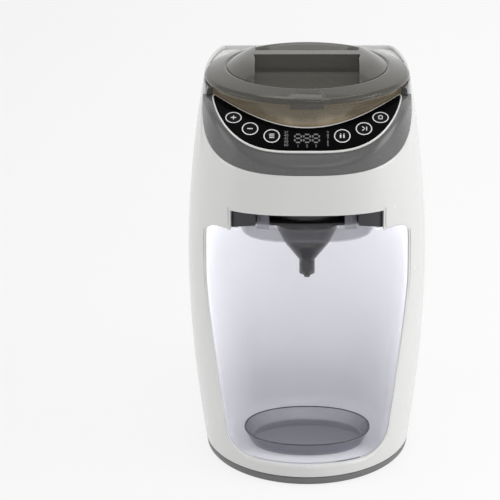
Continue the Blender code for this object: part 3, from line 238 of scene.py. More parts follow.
def paled(colour, goal, share):
    return tuple(c + (goal - c) * share for c in colour)


def start_material(name):
    material = bpy.data.materials.new(name)
    material.use_nodes = True
    return material, material.node_tree, material.node_tree.nodes["Principled BSDF"]


def add_bump(tree, shader, height, strength, distance=skin_depth):
    bump = feed(tree, add_node(tree, "ShaderNodeBump"), Strength=strength, Distance=distance,
                Height=height)
    feed(tree, shader, Normal=bump.outputs["Normal"])


def start_plastic(name, colour, drift, smudge, dust, pale, **scales):
    """A new material, its skin, smudges and dust, and a colour that these make uneven."""
    material, tree, shader = start_material(name)
    skin = group_node(tree, moulded_skin, **scales).outputs
    touch = group_node(tree, hand_smudges, Amount=smudge).outputs["Smudge"]
    settled = group_node(tree, settled_dust, Amount=dust).outputs["Dust"]
    base = mixed(tree, skin["Wave"], scaled(colour, 1 - drift), scaled(colour, 1 + drift))
    base = mixed(tree, settled, base, paled(colour, *pale))
    return material, tree, shader, skin, touch, settled, base


def moulded_plastic(name, colour, roughness, drift=0.04, grain=0.12, grain_scale=2600.0,
                    smudge=0.25, dust=0.25, coat=0.0, shine=0.5):
    """An opaque moulded plastic of one colour."""
    material, tree, shader, skin, touch, settled, base = start_plastic(
        name, colour, drift, smudge, dust, (0.55, 0.12), Grain_Scale=grain_scale)
    rough = spread(tree, touch, 0.0, 1.0, roughness, roughness + 0.14)
    rough = calc(tree, "ADD", rough, calc(tree, "MULTIPLY", settled, 0.25))
    feed(tree, shader, Base_Color=base, Roughness=rough, Coat_Weight=coat, Coat_Roughness=0.08,
         IOR=plastic_ior, Specular_IOR_Level=shine)
    add_bump(tree, shader, skin["Grain"], grain)
    return material


white_gloss = moulded_plastic("white_gloss", (0.74, 0.74, 0.73), 0.26, 0.010, 0.10,
                              smudge=0.10, dust=0.04, coat=0.25)
console_gray = moulded_plastic("console_gray", (0.112, 0.112, 0.112), 0.27, 0.05, 0.30, 3400.0,
                               dust=0.1, coat=0.15)
base_gray = moulded_plastic("base_gray", (0.17, 0.17, 0.17), 0.46, 0.05, 0.35, 3400.0)
dark_plastic = moulded_plastic("dark_plastic", (0.030, 0.030, 0.035), 0.36, 0.08, 0.25)
guide_gray = moulded_plastic("guide_gray", (0.16, 0.16, 0.17), 0.50, 0.06, 0.25)
natural_plastic = moulded_plastic("natural_plastic", (0.62, 0.53, 0.38), 0.40, 0.05, 0.20)
print("plastics made")

# %% [markdown]
# Some pieces need more than one plain plastic. The smoky lid, bowl and funnel let part of the
# light through: their alpha stays below one, and Layer Weight raises it where the wall is seen
# edge on, as a real tinted wall looks darker there. On the bowl a film of fine powder clings to
# the wall, full below one height and thinning out above it, and a faint emission in the powder's
# tone is painted light over the whole bowl.

# %% Finish: tinted clear plastic
powder_tone = (0.66, 0.54, 0.37)
film_alpha = 0.97


def build_clinging_film():
    """Fine powder on a wall: full below one height, gone above another, broken by noise."""
    tree, start, end = new_group("clinging_film", ("Film",), Low=0.330, High=0.362)
    here = own_place(tree)
    ragged = spread(tree, noise_in(tree, here, 38.0, 4.0), 0.3, 0.7, -0.006, 0.006)
    height = calc(tree, "ADD", parts_of(tree, here)["Z"], ragged)
    feed(tree, end, Film=spread(tree, height, start.outputs["Low"], start.outputs["High"],
                                0.90, 0.0))
    return tree


clinging_film = build_clinging_film()


def tinted_plastic(name, colour, face_alpha, edge_alpha, roughness=0.10, smudge=0.35,
                   dust=0.0, coat=0.3, film=None, glow=0.0):
    """A see-through moulded plastic, denser towards the edges that turn away."""
    material, tree, shader, skin, touch, settled, base = start_plastic(
        name, colour, 0.07, smudge, dust, (0.5, 0.15), Wave_Scale=55.0)
    edge = feed(tree, add_node(tree, "ShaderNodeLayerWeight"), Blend=0.35)
    alpha = spread(tree, edge.outputs["Facing"], 0.0, 1.0, face_alpha, edge_alpha)
    if film:
        # Painted light: a faint emission in the powder's tone over the whole wall.
        feed(tree, shader, Emission_Strength=glow, Emission_Color=powder_tone)
        cling = group_node(tree, clinging_film, Low=film[0], High=film[1]).outputs["Film"]
        base = mixed(tree, cling, base, powder_tone)
        alpha = spread(tree, cling, 0.0, 1.0, alpha, film_alpha)
    rough = spread(tree, touch, 0.0, 1.0, roughness, roughness + 0.16)
    feed(tree, shader, Base_Color=base, Alpha=alpha, Roughness=rough, IOR=plastic_ior,
         Coat_Weight=coat, Coat_Roughness=0.05)
    add_bump(tree, shader, skin["Grain"], 0.06)
    return material


smoky_lid = tinted_plastic("smoky_lid", (0.082, 0.078, 0.066), 0.70, 0.95, dust=0.05)
# The bowl's glow is painted light that brightens its tan wall.
smoky_bowl = tinted_plastic("smoky_bowl", (0.085, 0.072, 0.052), 0.62, 0.90, dust=0.05,
                            film=(0.352, 0.372), glow=0.10)
smoky_funnel = tinted_plastic("smoky_funnel", (0.048, 0.045, 0.047), 0.56, 0.96)
tray_smoke = tinted_plastic("tray_smoke", (0.19, 0.19, 0.23), 0.22, 0.90)
splash_clear = tinted_plastic("splash_clear", (0.36, 0.36, 0.42), 0.05, 0.50, coat=0.1)
splash_side = tinted_plastic("splash_side", (0.36, 0.36, 0.42), 0.34, 0.60, coat=0.1)
tank_clear = tinted_plastic("tank_clear", (0.40, 0.42, 0.46), 0.50, 0.88, dust=0.2)
print("tinted plastics made")

# %% [markdown]
# The panel is a glossy black film with a satin metal border, and the keys' signs are printed
# on it in pale ink. The border's metal gets fine streaks, from one noise that is stretched
# along X, so that the highlight breaks up as it does on brushed trim.

# %% Finish: panel film, ink, metal, rubber and boards
def satin_metal(name, colour, roughness, streak=0.10, metal=0.85):
    material, tree, shader = start_material(name)
    stretch = feed(tree, add_node(tree, "ShaderNodeMapping"), Vector=own_place(tree))
    stretch.inputs["Scale"].default_value = (1.0, 14.0, 14.0)
    streaks = noise_in(tree, stretch.outputs["Vector"], 420.0, 2.0)
    feed(tree, shader, Metallic=metal,
         Base_Color=mixed(tree, streaks, scaled(colour, 1 - streak), colour),
         Roughness=spread(tree, streaks, 0.0, 1.0, roughness, roughness + streak))
    add_bump(tree, shader, streaks, 0.08)
    return material


def printed_ink(name, colour, roughness=0.5):
    """Ink that is a little uneven, as screen printing leaves it."""
    material, tree, shader = start_material(name)
    skin = group_node(tree, moulded_skin, Grain_Scale=5200.0, Wave_Scale=900.0).outputs
    feed(tree, shader, Roughness=roughness,
         Base_Color=mixed(tree, skin["Wave"], scaled(colour, 0.82), colour))
    add_bump(tree, shader, skin["Grain"], 0.15, skin_depth / 2)
    return material


panel_black = moulded_plastic("panel_black", (0.0018, 0.0018, 0.0020), 0.24, 0.1, 0.05,
                              smudge=0.5, dust=0.01, shine=0.015)
key_black = moulded_plastic("key_black", (0.0024, 0.0024, 0.0026), 0.26, 0.1, 0.08,
                            smudge=0.6, dust=0.01, shine=0.04)
silver = satin_metal("silver", (0.74, 0.73, 0.71), 0.42, metal=0.25)
steel = satin_metal("steel", (0.55, 0.55, 0.56), 0.30, 0.16)
pale_ink = printed_ink("pale_ink", (0.80, 0.80, 0.80))
dim_ink = printed_ink("dim_ink", (0.20, 0.20, 0.205), 0.35)
rubber = moulded_plastic("rubber", (0.028, 0.028, 0.028), 0.78, 0.15, 0.5, 1500.0)
hose_white = moulded_plastic("hose_white", (0.66, 0.66, 0.64), 0.42, 0.03, 0.15)
circuit_green = moulded_plastic("circuit_green", (0.02, 0.13, 0.05), 0.42, 0.12, 0.2, 900.0)
print("panel, metal and rubber finishes made")

# %% [markdown]
# The bay's lining is glossy white and lit by two lamps under its ceiling, with a cool tint.
# Real lamps are tiny here, so their light is painted into the finish as well: a faint emission,
# and a paler base colour, that are strongest at the top corners and fade towards the floor and
# the middle. It reads object coordinates, so it stays on the wall when the machine turns.

# %% Finish: lit cove and lamp lens
glow_top, glow_reach, glow_half = 0.262, 0.200, 0.100


def build_bay_glow():
    """How strongly the painted lamp light falls on a point of the bay, from its height and side.
    """
    tree, start, end = new_group("painted_bay_light", ("Glow",), Top=glow_top, Reach=glow_reach,
                                 Half_Width=glow_half)
    parts = parts_of(tree, own_place(tree))
    below = calc(tree, "SUBTRACT", start.outputs["Top"], parts["Z"])
    depth = spread(tree, calc(tree, "DIVIDE", below, start.outputs["Reach"]), 0, 1, 0, 1)
    fade = calc(tree, "POWER", calc(tree, "SUBTRACT", 1.0, depth), 1.3)
    aside = calc(tree, "DIVIDE", calc(tree, "ABSOLUTE", parts["X"], 0.0),
                 start.outputs["Half Width"])
    sides = spread(tree, calc(tree, "POWER", aside, 2.0), 0.0, 1.0, 0.50, 1.0)
    feed(tree, end, Glow=calc(tree, "MULTIPLY", fade, sides))
    return tree


painted_bay_light = build_bay_glow()


def lit_lining(name):
    material, tree, shader = start_material(name)
    skin = group_node(tree, moulded_skin, Wave_Scale=30.0).outputs
    touch = group_node(tree, hand_smudges, Amount=0.3).outputs["Smudge"]
    glow = group_node(tree, painted_bay_light).outputs["Glow"]
    base = mixed(tree, skin["Wave"], (0.72, 0.72, 0.75), (0.76, 0.76, 0.79))
    # Painted lamp light: where the mask is strong the base colour is paler and the emission
    # brighter.
    feed(tree, shader, Base_Color=mixed(tree, glow, base, (0.80, 0.80, 0.83)),
         Emission_Color=mixed(tree, glow, (0.115, 0.115, 0.13), (0.56, 0.56, 0.59)),
         Emission_Strength=1.0, Roughness=spread(tree, touch, 0.0, 1.0, 0.20, 0.34),
         Coat_Weight=0.4, Coat_Roughness=0.06)
    add_bump(tree, shader, skin["Grain"], 0.08)
    return material


def lamp_lens(name):
    material, tree, shader = start_material(name)
    skin = group_node(tree, moulded_skin, Grain_Scale=1800.0).outputs
    feed(tree, shader, Emission_Strength=3.0, Roughness=0.35,
         Base_Color=mixed(tree, skin["Grain"], (0.80, 0.80, 0.90), (0.90, 0.90, 0.98)),
         Emission_Color=mixed(tree, skin["Wave"], (0.85, 0.85, 1.0), (1.0, 1.0, 1.0)))
    return material


white_cove = lit_lining("white_cove")
lens_milk = lamp_lens("lens_milk")
print("lit finishes made")

# %% [markdown]
# Every CAD node keeps its mesh, so the ones that stay in view only need a finish. The record
# names a material slot for each node, and this table says which finish a slot gets. Pieces
# made further down hide the nodes that they stand for.

# %% Finish the CAD nodes
finishes = {
    "white_gloss": white_gloss, "white_cove": white_cove, "console_gray": console_gray,
    "base_gray": base_gray, "smoky": smoky_bowl, "dark_plastic": dark_plastic,
    "panel_black": panel_black, "silver": silver, "key_black": key_black,
    "clear_plastic": tank_clear, "natural_plastic": natural_plastic, "steel": steel,
    "rubber": rubber, "circuit_green": circuit_green, "hose_white": hose_white,
    "lens_milk": lens_milk,
}
slot_of = {row["node"]: row["material_slot"] for row in frame["record"]["subparts"]}
for node_name, node in nodes.items():
    finish = guide_gray if node_name == "funnel_guide" else finishes[slot_of[node_name]]
    if not node.material_slots:
        node.data.materials.append(finish)
    for slot in node.material_slots:
        slot.material = finish
print("finished", len(nodes), "CAD nodes")

# %% [markdown]
# The studio is a pale floor that curves up into a backdrop, far enough behind to stay even.
# What the camera, a mirror-like surface or a tinted wall sees of it is a near-white emission of
# its own, made greyer at the left as painted shade, mixed over plain paint, so the floor still
# takes the shadow.

# %% Stage
floor_half, backdrop_y, backdrop_top = 6.0, 4.5, 6.0
sweep_radius = 1.5
pale_share = 0.86


def stage_paint():
    material, tree, shader = start_material("stage_paint")
    here = own_place(tree)
    paint = mixed(tree, noise_in(tree, here, 3.0), (0.76, 0.76, 0.76), (0.80, 0.80, 0.80))
    feed(tree, shader, Base_Color=paint, Roughness=0.9, Specular_IOR_Level=0.1)
    # Painted shade: the camera-ray white turns greyer towards the left.
    side = spread(tree, parts_of(tree, here)["X"], -0.55, 0.15, 0.0, 1.0)
    glow = feed(tree, add_node(tree, "ShaderNodeEmission"),
                Color=mixed(tree, side, (0.945, 0.945, 0.945), (1.0, 1.0, 1.0)))
    seen = add_node(tree, "ShaderNodeLightPath").outputs
    direct = calc(tree, "MAXIMUM", seen["Is Camera Ray"], seen["Is Glossy Ray"])
    direct = calc(tree, "MAXIMUM", direct, seen["Is Transmission Ray"])
    blend = add_node(tree, "ShaderNodeMixShader")
    for socket, value in zip(blend.inputs, (calc(tree, "MULTIPLY", direct, pale_share),
                                            shader.outputs["BSDF"], glow.outputs["Emission"])):
        give(tree, socket, value)
    feed(tree, tree.nodes["Material Output"], Surface=blend.outputs["Shader"])
    return material


bpy.ops.mesh.primitive_plane_add(size=2, location=(0, 0, 0))
studio = bpy.context.active_object
studio.name = "studio"
for vertex in studio.data.vertices:
    vertex.co = (math.copysign(floor_half, vertex.co.x),
                 backdrop_y if vertex.co.y > 0 else -floor_half, 0)
bpy.ops.object.mode_set(mode="EDIT")
bpy.ops.mesh.select_mode(type="EDGE")
bpy.ops.mesh.select_all(action="DESELECT")
bpy.ops.object.mode_set(mode="OBJECT")
for edge in studio.data.edges:
    a, b = (studio.data.vertices[i].co for i in edge.vertices)
    edge.select = min(a.y, b.y) > 0
bpy.ops.object.mode_set(mode="EDIT")
bpy.ops.mesh.extrude_region_move(TRANSFORM_OT_translate={"value": (0, 0, backdrop_top)})
bpy.ops.object.mode_set(mode="OBJECT")
bend = studio.modifiers.new("sweep", "BEVEL")
bend.width = sweep_radius
bend.segments = 24
bend.limit_method = "ANGLE"
bpy.ops.object.modifier_apply(modifier="sweep")
bpy.ops.object.shade_smooth()
studio.data.materials.append(stage_paint())
print("stage of", len(studio.data.polygons), "faces")

# %% [markdown]
# Soft studio light: one wide lamp above and a little in front, and a lower, cooler one at
# each side, set slightly back so that the white sides shine and the front's middle stays a
# shade darker. The world adds an even pale fill. Lamp powers are kept plain, so that a colour
# renders about as it is written.

# %% Lamps and world
lamp_aim = Vector((0.0, 0.0, 0.2))
lamp_table = [
    ("top_lamp", (0.1, 0.2, 2.6), 2.4, 2.0, 24.0),
    ("left_lamp", (-2.3, -0.5, 0.9), 1.6, 1.8, 13.0),
    ("right_lamp", (2.3, -0.7, 1.1), 1.6, 2.0, 31.0),
    ("front_lamp", (0.6, -3.4, 2.2), 1.4, 1.0, 6.0),
]
for lamp_name, spot, across, tall, power in lamp_table:
    lamp_data = bpy.data.lights.new(lamp_name, "AREA")
    lamp_data.shape = "RECTANGLE"
    lamp_data.size = across
    lamp_data.size_y = tall
    lamp_data.energy = power
    lamp = bpy.data.objects.new(lamp_name, lamp_data)
    bpy.context.scene.collection.objects.link(lamp)
    lamp.location = spot
    lamp.rotation_euler = (lamp_aim - Vector(spot)).to_track_quat("-Z", "Y").to_euler()

world = bpy.data.worlds.new("studio_air")
bpy.context.scene.world = world
world.use_nodes = True
feed(world.node_tree, world.node_tree.nodes["Background"], Color=(1.0, 1.0, 1.0), Strength=0.48)
print("lamps:", [row[0] for row in lamp_table])

# %% [markdown]
# The new pieces are made with Blender's own tools. A helper starts each from a primitive: `laid`
# places a grid's vertices on rows of points, for shells whose form follows a rule, `walled`
# gives such a sheet a wall, and `spun` turns a closed profile round an upright axis, for all
# that is round. Modifiers finish them and are applied, and every piece ends with its finish and
# its body, and hides the CAD nodes that it stands for.

# %% Modelling helpers
weld = 0.000005


def pick(piece):
    """Make one piece the only selected one, and the active one."""
    bpy.ops.object.select_all(action="DESELECT")
    piece.select_set(True)
    bpy.context.view_layer.objects.active = piece


def edit_all(piece):
    pick(piece)
    bpy.ops.object.mode_set(mode="EDIT")
    bpy.ops.mesh.select_all(action="SELECT")


def leave_edit():
    bpy.ops.object.mode_set(mode="OBJECT")


def fresh(add, name, **settings):
    """A new primitive, with its place, turn and size carried into its mesh."""
    bpy.ops.object.select_all(action="DESELECT")
    add(**settings)
    bpy.ops.object.transform_apply()
    piece = bpy.context.active_object
    piece.name = piece.data.name = name
    return piece


def place_vertices(piece, points):
    flat = [value for point in points for value in placed(*point)]
    piece.data.vertices.foreach_set("co", flat)
    piece.data.update()
    return piece


def faced_out(piece):
    edit_all(piece)
    bpy.ops.mesh.normals_make_consistent(inside=False)
    leave_edit()
    return piece


def laid(name, rows, closed=False):
    """A grid laid on rows of points; closed joins the two ends of each row."""
    if closed:
        rows = [[*row, row[0]] for row in rows]
    piece = fresh(bpy.ops.mesh.primitive_grid_add, name, x_subdivisions=len(rows[0]) - 1,
                  y_subdivisions=len(rows) - 1, size=1)
    edit_all(place_vertices(piece, [point for row in rows for point in row]))
    bpy.ops.mesh.remove_doubles(threshold=weld)
    bpy.ops.mesh.select_all(action="SELECT")
    bpy.ops.mesh.dissolve_degenerate(threshold=weld)
    leave_edit()
    return piece


def facing_from(piece, inside, away=True):
    """Turn an open sheet's faces away from a point, or towards it."""
    spot = placed(*inside)
    lean = sum((face.center - spot).dot(face.normal) * face.area
               for face in piece.data.polygons)
    if (lean > 0) != away:
        edit_all(piece)
        bpy.ops.mesh.flip_normals()
        leave_edit()
    return piece


def closed_shell(piece):
    """Close the open rims of a shell with flat faces and point all faces outwards."""
    edit_all(piece)
    bpy.ops.mesh.select_mode(type="EDGE")
    bpy.ops.mesh.select_all(action="DESELECT")
    bpy.ops.mesh.select_non_manifold(extend=False, use_wire=False, use_multi_face=False,
                                     use_non_contiguous=False, use_verts=False)
    bpy.ops.mesh.edge_face_add()
    leave_edit()
    return faced_out(piece)


def spun(name, profile, axis=(0, 0), steps=96):
    """A closed profile of (radius, height) points, spun round an upright axis."""
    piece = fresh(bpy.ops.mesh.primitive_circle_add, name, vertices=len(profile),
                  fill_type="NOTHING")
    edit_all(place_vertices(piece, [(axis[0] + r, axis[1], z) for r, z in profile]))
    bpy.ops.mesh.spin(steps=steps, angle=2 * math.pi, center=placed(*axis, 0), axis=(0, 0, 1))
    bpy.ops.mesh.select_all(action="SELECT")
    bpy.ops.mesh.remove_doubles(threshold=weld)
    bpy.ops.mesh.delete_loose()
    leave_edit()
    return faced_out(piece)


def finish_with(piece, kind, **settings):
    """Add a modifier with its settings, and apply it."""
    pick(piece)
    bpy.ops.object.modifier_add(type=kind)
    step = piece.modifiers[-1]
    for key, value in settings.items():
        setattr(step, key, value)
    bpy.ops.object.modifier_apply(modifier=step.name)
    return piece


def walled(name, rows, inside, wall, closed=False, away=True):
    """A sheet laid on rows that faces away from a point, given a wall on its inner side."""
    sheet = facing_from(laid(name, rows, closed), inside, away)
    return finish_with(sheet, "SOLIDIFY", thickness=wall, offset=-1, use_even_offset=True)


def soft_edges(piece, width, segments=2, degrees=38):
    return finish_with(piece, "BEVEL", width=width, segments=segments, limit_method="ANGLE",
                       angle_limit=math.radians(degrees), harden_normals=False)


def joined(piece, *others):
    """One closed solid out of several that overlap."""
    for other in others:
        finish_with(piece, "BOOLEAN", operation="UNION", object=other, solver="EXACT")
        bpy.data.objects.remove(other, do_unlink=True)
    return piece


def cut_by(piece, *tools):
    for tool in tools:
        finish_with(piece, "BOOLEAN", operation="DIFFERENCE", object=tool, solver="EXACT")
        bpy.data.objects.remove(tool, do_unlink=True)
    return piece


def dress(piece, finish, body, slot, *stands_for, degrees=32):
    """Smooth shading, a finish, a body to ride on and the nodes that the piece replaces."""
    pick(piece)
    bpy.ops.object.shade_smooth_by_angle(angle=math.radians(degrees))
    piece.data.materials.clear()
    piece.data.materials.append(finish)
    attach(piece, body)
    if stands_for:
        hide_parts(*stands_for)
    bpy.ops.object.select_all(action="DESELECT")
    print(piece.name, "has", len(piece.data.polygons), "faces")
    return piece


# %% [markdown]
# Two small drawing aids come next. `filleted` rounds the corners of an outline, and
# `softened` turns a sharp corner between two directions into a short curve, which is how the
# soft edges of moulded shells are laid straight into the rows of a grid.


# %% Drawing aids
def filleted(corners, steps=6):
    """An outline whose corners, given as (u, v, radius), are replaced by arcs."""
    outline = []
    count = len(corners)
    for i, (u, v, radius) in enumerate(corners):
        if radius == 0:
            outline.append((u, v))
            continue
        here = Vector((u, v))
        back = Vector(corners[i - 1][:2]) - here
        ahead = Vector(corners[(i + 1) % count][:2]) - here
        half = back.angle(ahead) / 2
        reach = min(radius / math.tan(half), back.length * 0.49, ahead.length * 0.49)
        middle = here + (back.normalized() + ahead.normalized()).normalized() \
            * reach / math.cos(half)
        start = here + back.normalized() * reach - middle
        sweep = start.angle_signed(here + ahead.normalized() * reach - middle)
        for k in range(steps + 1):
            spot = middle + Matrix.Rotation(-sweep * k / steps, 2) @ start
            outline.append((spot.x, spot.y))
    return outline


def softened(start, corner, end, steps=5):
    """Points of a short curve from start to end that is drawn towards a corner."""
    start, corner, end = Vector(start), Vector(corner), Vector(end)
    shares = [i / steps for i in range(steps + 1)]
    return [start * (1 - t) ** 2 + corner * 2 * t * (1 - t) + end * t * t for t in shares]


def power_curve(value, power):
    return math.copysign(abs(value) ** (2 / power), value)


def oval_point(turn, across, deep, power):
    """A plan point of a squared oval round the origin, from +X at a turn of 0."""
    return across * power_curve(math.cos(turn), power), deep * power_curve(math.sin(turn), power)


def oval_ray(angle, across, deep, power):
    """How far the same oval lies from the origin, along a ray that turns from -Y."""
    return ((abs(math.sin(angle)) / across) ** power
            + (abs(math.cos(angle)) / deep) ** power) ** (-1 / power)


# %% [markdown]
# The housing is a barrel: its plan is a squared oval, flatter in front, whose width swells to
# a waist and draws in again at the foot and the shoulder. These few functions give any point
# of that surface, and the shells, the console and the base all read them, so they fit.

# %% The housing's form
body_half, base_half, top_half = 0.118, 0.1005, 0.1014
waist_height, shell_top = 0.200, 0.383
front_base, front_bulge, front_arch = 0.128, 0.005, 0.360
foot_curve, front_round, front_squaring = 1.8, 2.0, 0.68
notch_top, notch_half, notch_floor = 0.282, 0.0740, 0.262
band_top = 0.010
shell_wall = 0.0026
gap = 0.0003
rear_reach, rear_draw, rear_middle, rear_power = 0.194, 0.006, 0.15, 2.4
back_wall_y = 0.112
crown_start, crown_radius, crown_base = -0.0445, 0.104, 0.271
seam_radius, seam_y, seam_base = 0.216, -0.182, 0.532


def half_width(z):
    if z < waist_height:
        fall = (waist_height - z) / waist_height
        return body_half - (body_half - base_half) * fall ** foot_curve
    rise = (z - waist_height) / (shell_top - waist_height)
    return body_half - (body_half - top_half) * rise ** 2


def front_depth(z):
    return front_base + front_bulge * math.sin(math.pi * z / front_arch)


def rear_depth(z):
    return rear_reach - rear_draw * ((z - rear_middle) / rear_middle) ** 2


def front_power(z):
    return front_round + front_squaring * min(1, z / notch_top)


def front_point(turn, z, inset=0):
    """A point of the front, by the angle from its middle and the height."""
    power = front_power(z)
    return ((half_width(z) - inset) * power_curve(math.sin(turn), power),
            -(front_depth(z) - inset) * abs(math.cos(turn)) ** (2 / power), z)


def front_turn(x, z):
    """The angle at which the front reaches a sideways place x."""
    share = min(1, abs(x) / half_width(z))
    return math.copysign(math.asin(share ** (front_power(z) / 2)), x)


def front_y(x, z, inset=0):
    power = front_power(z)
    share = min(1, abs(x) / (half_width(z) - inset))
    return -(front_depth(z) - inset) * (1 - share ** power) ** (1 / power)


def rear_point(angle, z, inset=0):
    """A point of the rear outline, from +X at 0 to -X at 180 degrees."""
    return (*oval_point(angle, half_width(z) - inset, rear_depth(z) - inset, rear_power), z)


def rear_wall_point(angle, z, corner=0.004):
    """The rear outline, stopped by the flat back wall with a soft corner."""
    x, y, z = rear_point(angle, z)
    y = -corner * math.log(math.exp(-y / corner) + math.exp(-back_wall_y / corner))
    return (x, y + gap, z)


def crown_z(y):
    """Height of the crowned panel surface on top of the front."""
    return crown_base + math.sqrt(crown_radius ** 2 - min(0, y - crown_start) ** 2)


def seam_z(y):
    """Height of the seam where the white front ends and the console starts."""
    return seam_base - math.sqrt(seam_radius ** 2 - (y - seam_y) ** 2)


print("front middle at half height:", [round(v / mm, 1) for v in front_point(0, 0.2)])

# %% [markdown]
# The front cover has one large opening, the bay, with a notch on top for the drawer. Cutting
# it out of a finished shell would leave a hard edge, and on the real machine that edge is the
# softest one of all. So the shell is laid in rings round the opening: each ring runs once
# round, from the rim inside the bay, over the soft edge, out to the border of the cover. Rays
# from the bay's middle find where the rim and the border lie.

# %% Outline of the bay
floor_z = 0.0225
bay_marks = ((floor_z, 0.0765), (0.112, 0.0880), (0.200, 0.0985), (notch_floor, 0.0985))
bay_fillets = (0.026, 0.160, 0.120, 0.016)
bay_side = [(width, z, fillet) for (z, width), fillet in zip(bay_marks, bay_fillets)]
bay_side += [(notch_half, notch_floor, 0), (notch_half, notch_top, 0)]
bay_outline = filleted(bay_side + [(-x, z, fillet) for x, z, fillet in reversed(bay_side)], 8)
turn_scale = 0.1
star_middle = (0.0, 0.14)
ray_count, corner_clear = 380, 0.006


def shell_edge_z(turn):
    """Where the front cover ends at the top: level at the sides, along the seam in front."""
    z = shell_top
    for _ in range(12):
        z = min(shell_top, seam_z(front_point(turn, z)[1]) - gap)
    return z


def span(low, high, count):
    return [low + (high - low) * i / count for i in range(count + 1)]


def ray_length(loop, direction):
    """How far a ray from the star's middle runs before it meets a closed loop."""
    found = 0
    for (u0, v0), (u1, v1) in zip(loop, loop[1:] + loop[:1]):
        eu, ev = u1 - u0, v1 - v0
        cross = direction[0] * ev - direction[1] * eu
        if abs(cross) < 1e-12:
            continue
        du, dv = u0 - star_middle[0], v0 - star_middle[1]
        along = (du * ev - dv * eu) / cross
        share = (du * direction[1] - dv * direction[0]) / cross
        if along > 0 and -1e-6 <= share <= 1 + 1e-6:
            found = max(found, along)
    return found


side = math.pi / 2 * turn_scale
bay_loop = [(front_turn(x, z) * turn_scale, z) for x, z in bay_outline]
border = [(u, band_top) for u in span(-side, side, 40)[:-1]]
border += [(side, z) for z in span(band_top, shell_top, 24)[:-1]]
border += [(u, shell_edge_z(u / turn_scale)) for u in span(side, -side, 120)[:-1]]
border += [(-side, z) for z in span(shell_top, band_top, 24)[:-1]]
corners = [(s * front_turn(notch_half, z) * turn_scale, z)
           for s in (-1, 1) for z in (notch_floor, notch_top)]
corners += [(s * side, z) for s in (-1, 1) for z in (band_top, shell_top)]
corner_turns = [math.atan2(v - star_middle[1], u - star_middle[0]) for u, v in corners]
star_turns = [t for t in span(-math.pi, math.pi, ray_count)[:-1]
              if min(abs(t - c) for c in corner_turns) > corner_clear]
star_turns = sorted(star_turns + corner_turns)
print("the bay's outline has", len(bay_outline), "points and the star", len(star_turns))

# %% [markdown]
# Each ray gives one column of the cover's grid. It starts inside the bay, turns over the soft
# edge and runs out over the barrel's surface, with its points closer together near the edge.
# The notch for the drawer has a tighter edge than the bay.

# %% Front housing
bay_rim_depth, notch_rim_depth = 0.0080, 0.0039
bay_edge_soft, notch_edge_soft = 0.0045, 0.0010


def star_column(turn):
    """The front cover's points along one ray, from the rim inside the bay to the border."""
    direction = (math.cos(turn), math.sin(turn))
    near, far = ray_length(bay_loop, direction), ray_length(border, direction)

    def surface(distance):
        u = star_middle[0] + distance * direction[0]
        return Vector(front_point(u / turn_scale, star_middle[1] + distance * direction[1]))

    corner = surface(near)
    in_notch = corner.z > notch_floor - 0.002 and abs(corner.x) < notch_half + 0.002
    soft = notch_edge_soft if in_notch else bay_edge_soft
    inward = Vector((0, 1, 0))
    column = [corner + inward * (notch_rim_depth if in_notch else bay_rim_depth)]
    column += softened(corner + inward * soft, corner, surface(near + soft), 6)
    for i in range(1, 17):
        column.append(surface(near + soft + (far - near - soft) * (i / 16) ** 1.25))
    return column


columns = [star_column(turn) for turn in star_turns]
front_housing = walled("front_housing", list(zip(*columns)), (0, 0, 0.2), 0.0024, closed=True)
soft_edges(front_housing, 0.0006, 2, 50)
dress(front_housing, white_gloss, "housing", "white_gloss", "front_cover")

# %% [markdown]
# The rear housing is one loft: side wall, soft corner, flat back, soft corner, side wall. A
# half ring of points at each height gives it, and Solidify gives the wall.

# %% Rear housing
rear_rows = [[rear_wall_point(angle, z) for angle in span(0, math.pi, 150)]
             for z in span(band_top, shell_top, 40)]
rear_housing = walled("rear_housing", rear_rows, (0, 0.05, 0.2), shell_wall)
soft_edges(rear_housing, 0.0006, 2, 50)
dress(rear_housing, white_gloss, "housing", "white_gloss", "rear_cover")

# %% [markdown]
# The bay is lined by one glossy moulding. It starts behind the soft edge of the front, curves
# round the back as a squared oval and runs into the floor with a wide fillet, with no seam.
# Each column of the grid goes down the wall, through the fillet and then straight forward
# along the floor, so wall and floor are one sheet.

# %% Bay lining
bay_back, cove_wall = 0.018, 0.002
lining_fillet, lining_setback = 0.019, 0.0030


def bay_half(z):
    for (z0, w0), (z1, w1) in zip(bay_marks, bay_marks[1:]):
        if z <= z1:
            share = max(0, z - z0) / (z1 - z0)
            return w0 + (w1 - w0) * share
    return bay_marks[-1][1]


def smooth_bay_half(z, reach=0.022):
    """The bay's half width with its two knees rounded off."""
    return sum(bay_half(z + reach * i / 4) for i in range(-4, 5)) / 9


def lining_point(angle, z, inset=0):
    across = smooth_bay_half(z) + gap - inset
    edge = front_y(across + cove_wall, z, lining_setback)
    deep = bay_back - inset - edge
    return Vector((-across * power_curve(math.cos(angle), 2.5),
                   edge + deep * abs(math.sin(angle)) ** 0.8, z))


def lining_column(angle):
    wall_heights = span(notch_floor - gap, floor_z + lining_fillet, 34)
    column = [lining_point(angle, z) for z in wall_heights]
    for i in range(1, 11):
        bend_turn = math.pi / 2 * i / 10
        inset = lining_fillet * (1 - math.cos(bend_turn))
        height = floor_z + lining_fillet * (1 - math.sin(bend_turn))
        column.append(lining_point(angle, height, inset))
    foot = column[-1]
    front = Vector((foot.x, min(foot.y, front_y(foot.x, floor_z, lining_setback)), floor_z))
    return column + [foot.lerp(front, share) for share in span(0, 1, 16)[1:]]


lining_columns = [lining_column(angle) for angle in span(0, math.pi, 128)]
bay_lining = walled("bay_lining", list(zip(*lining_columns)), (0, -0.06, 0.15), cove_wall,
                    away=False)
dress(bay_lining, white_cove, "housing", "white_cove", "bay_wall", "bay_floor", degrees=50)

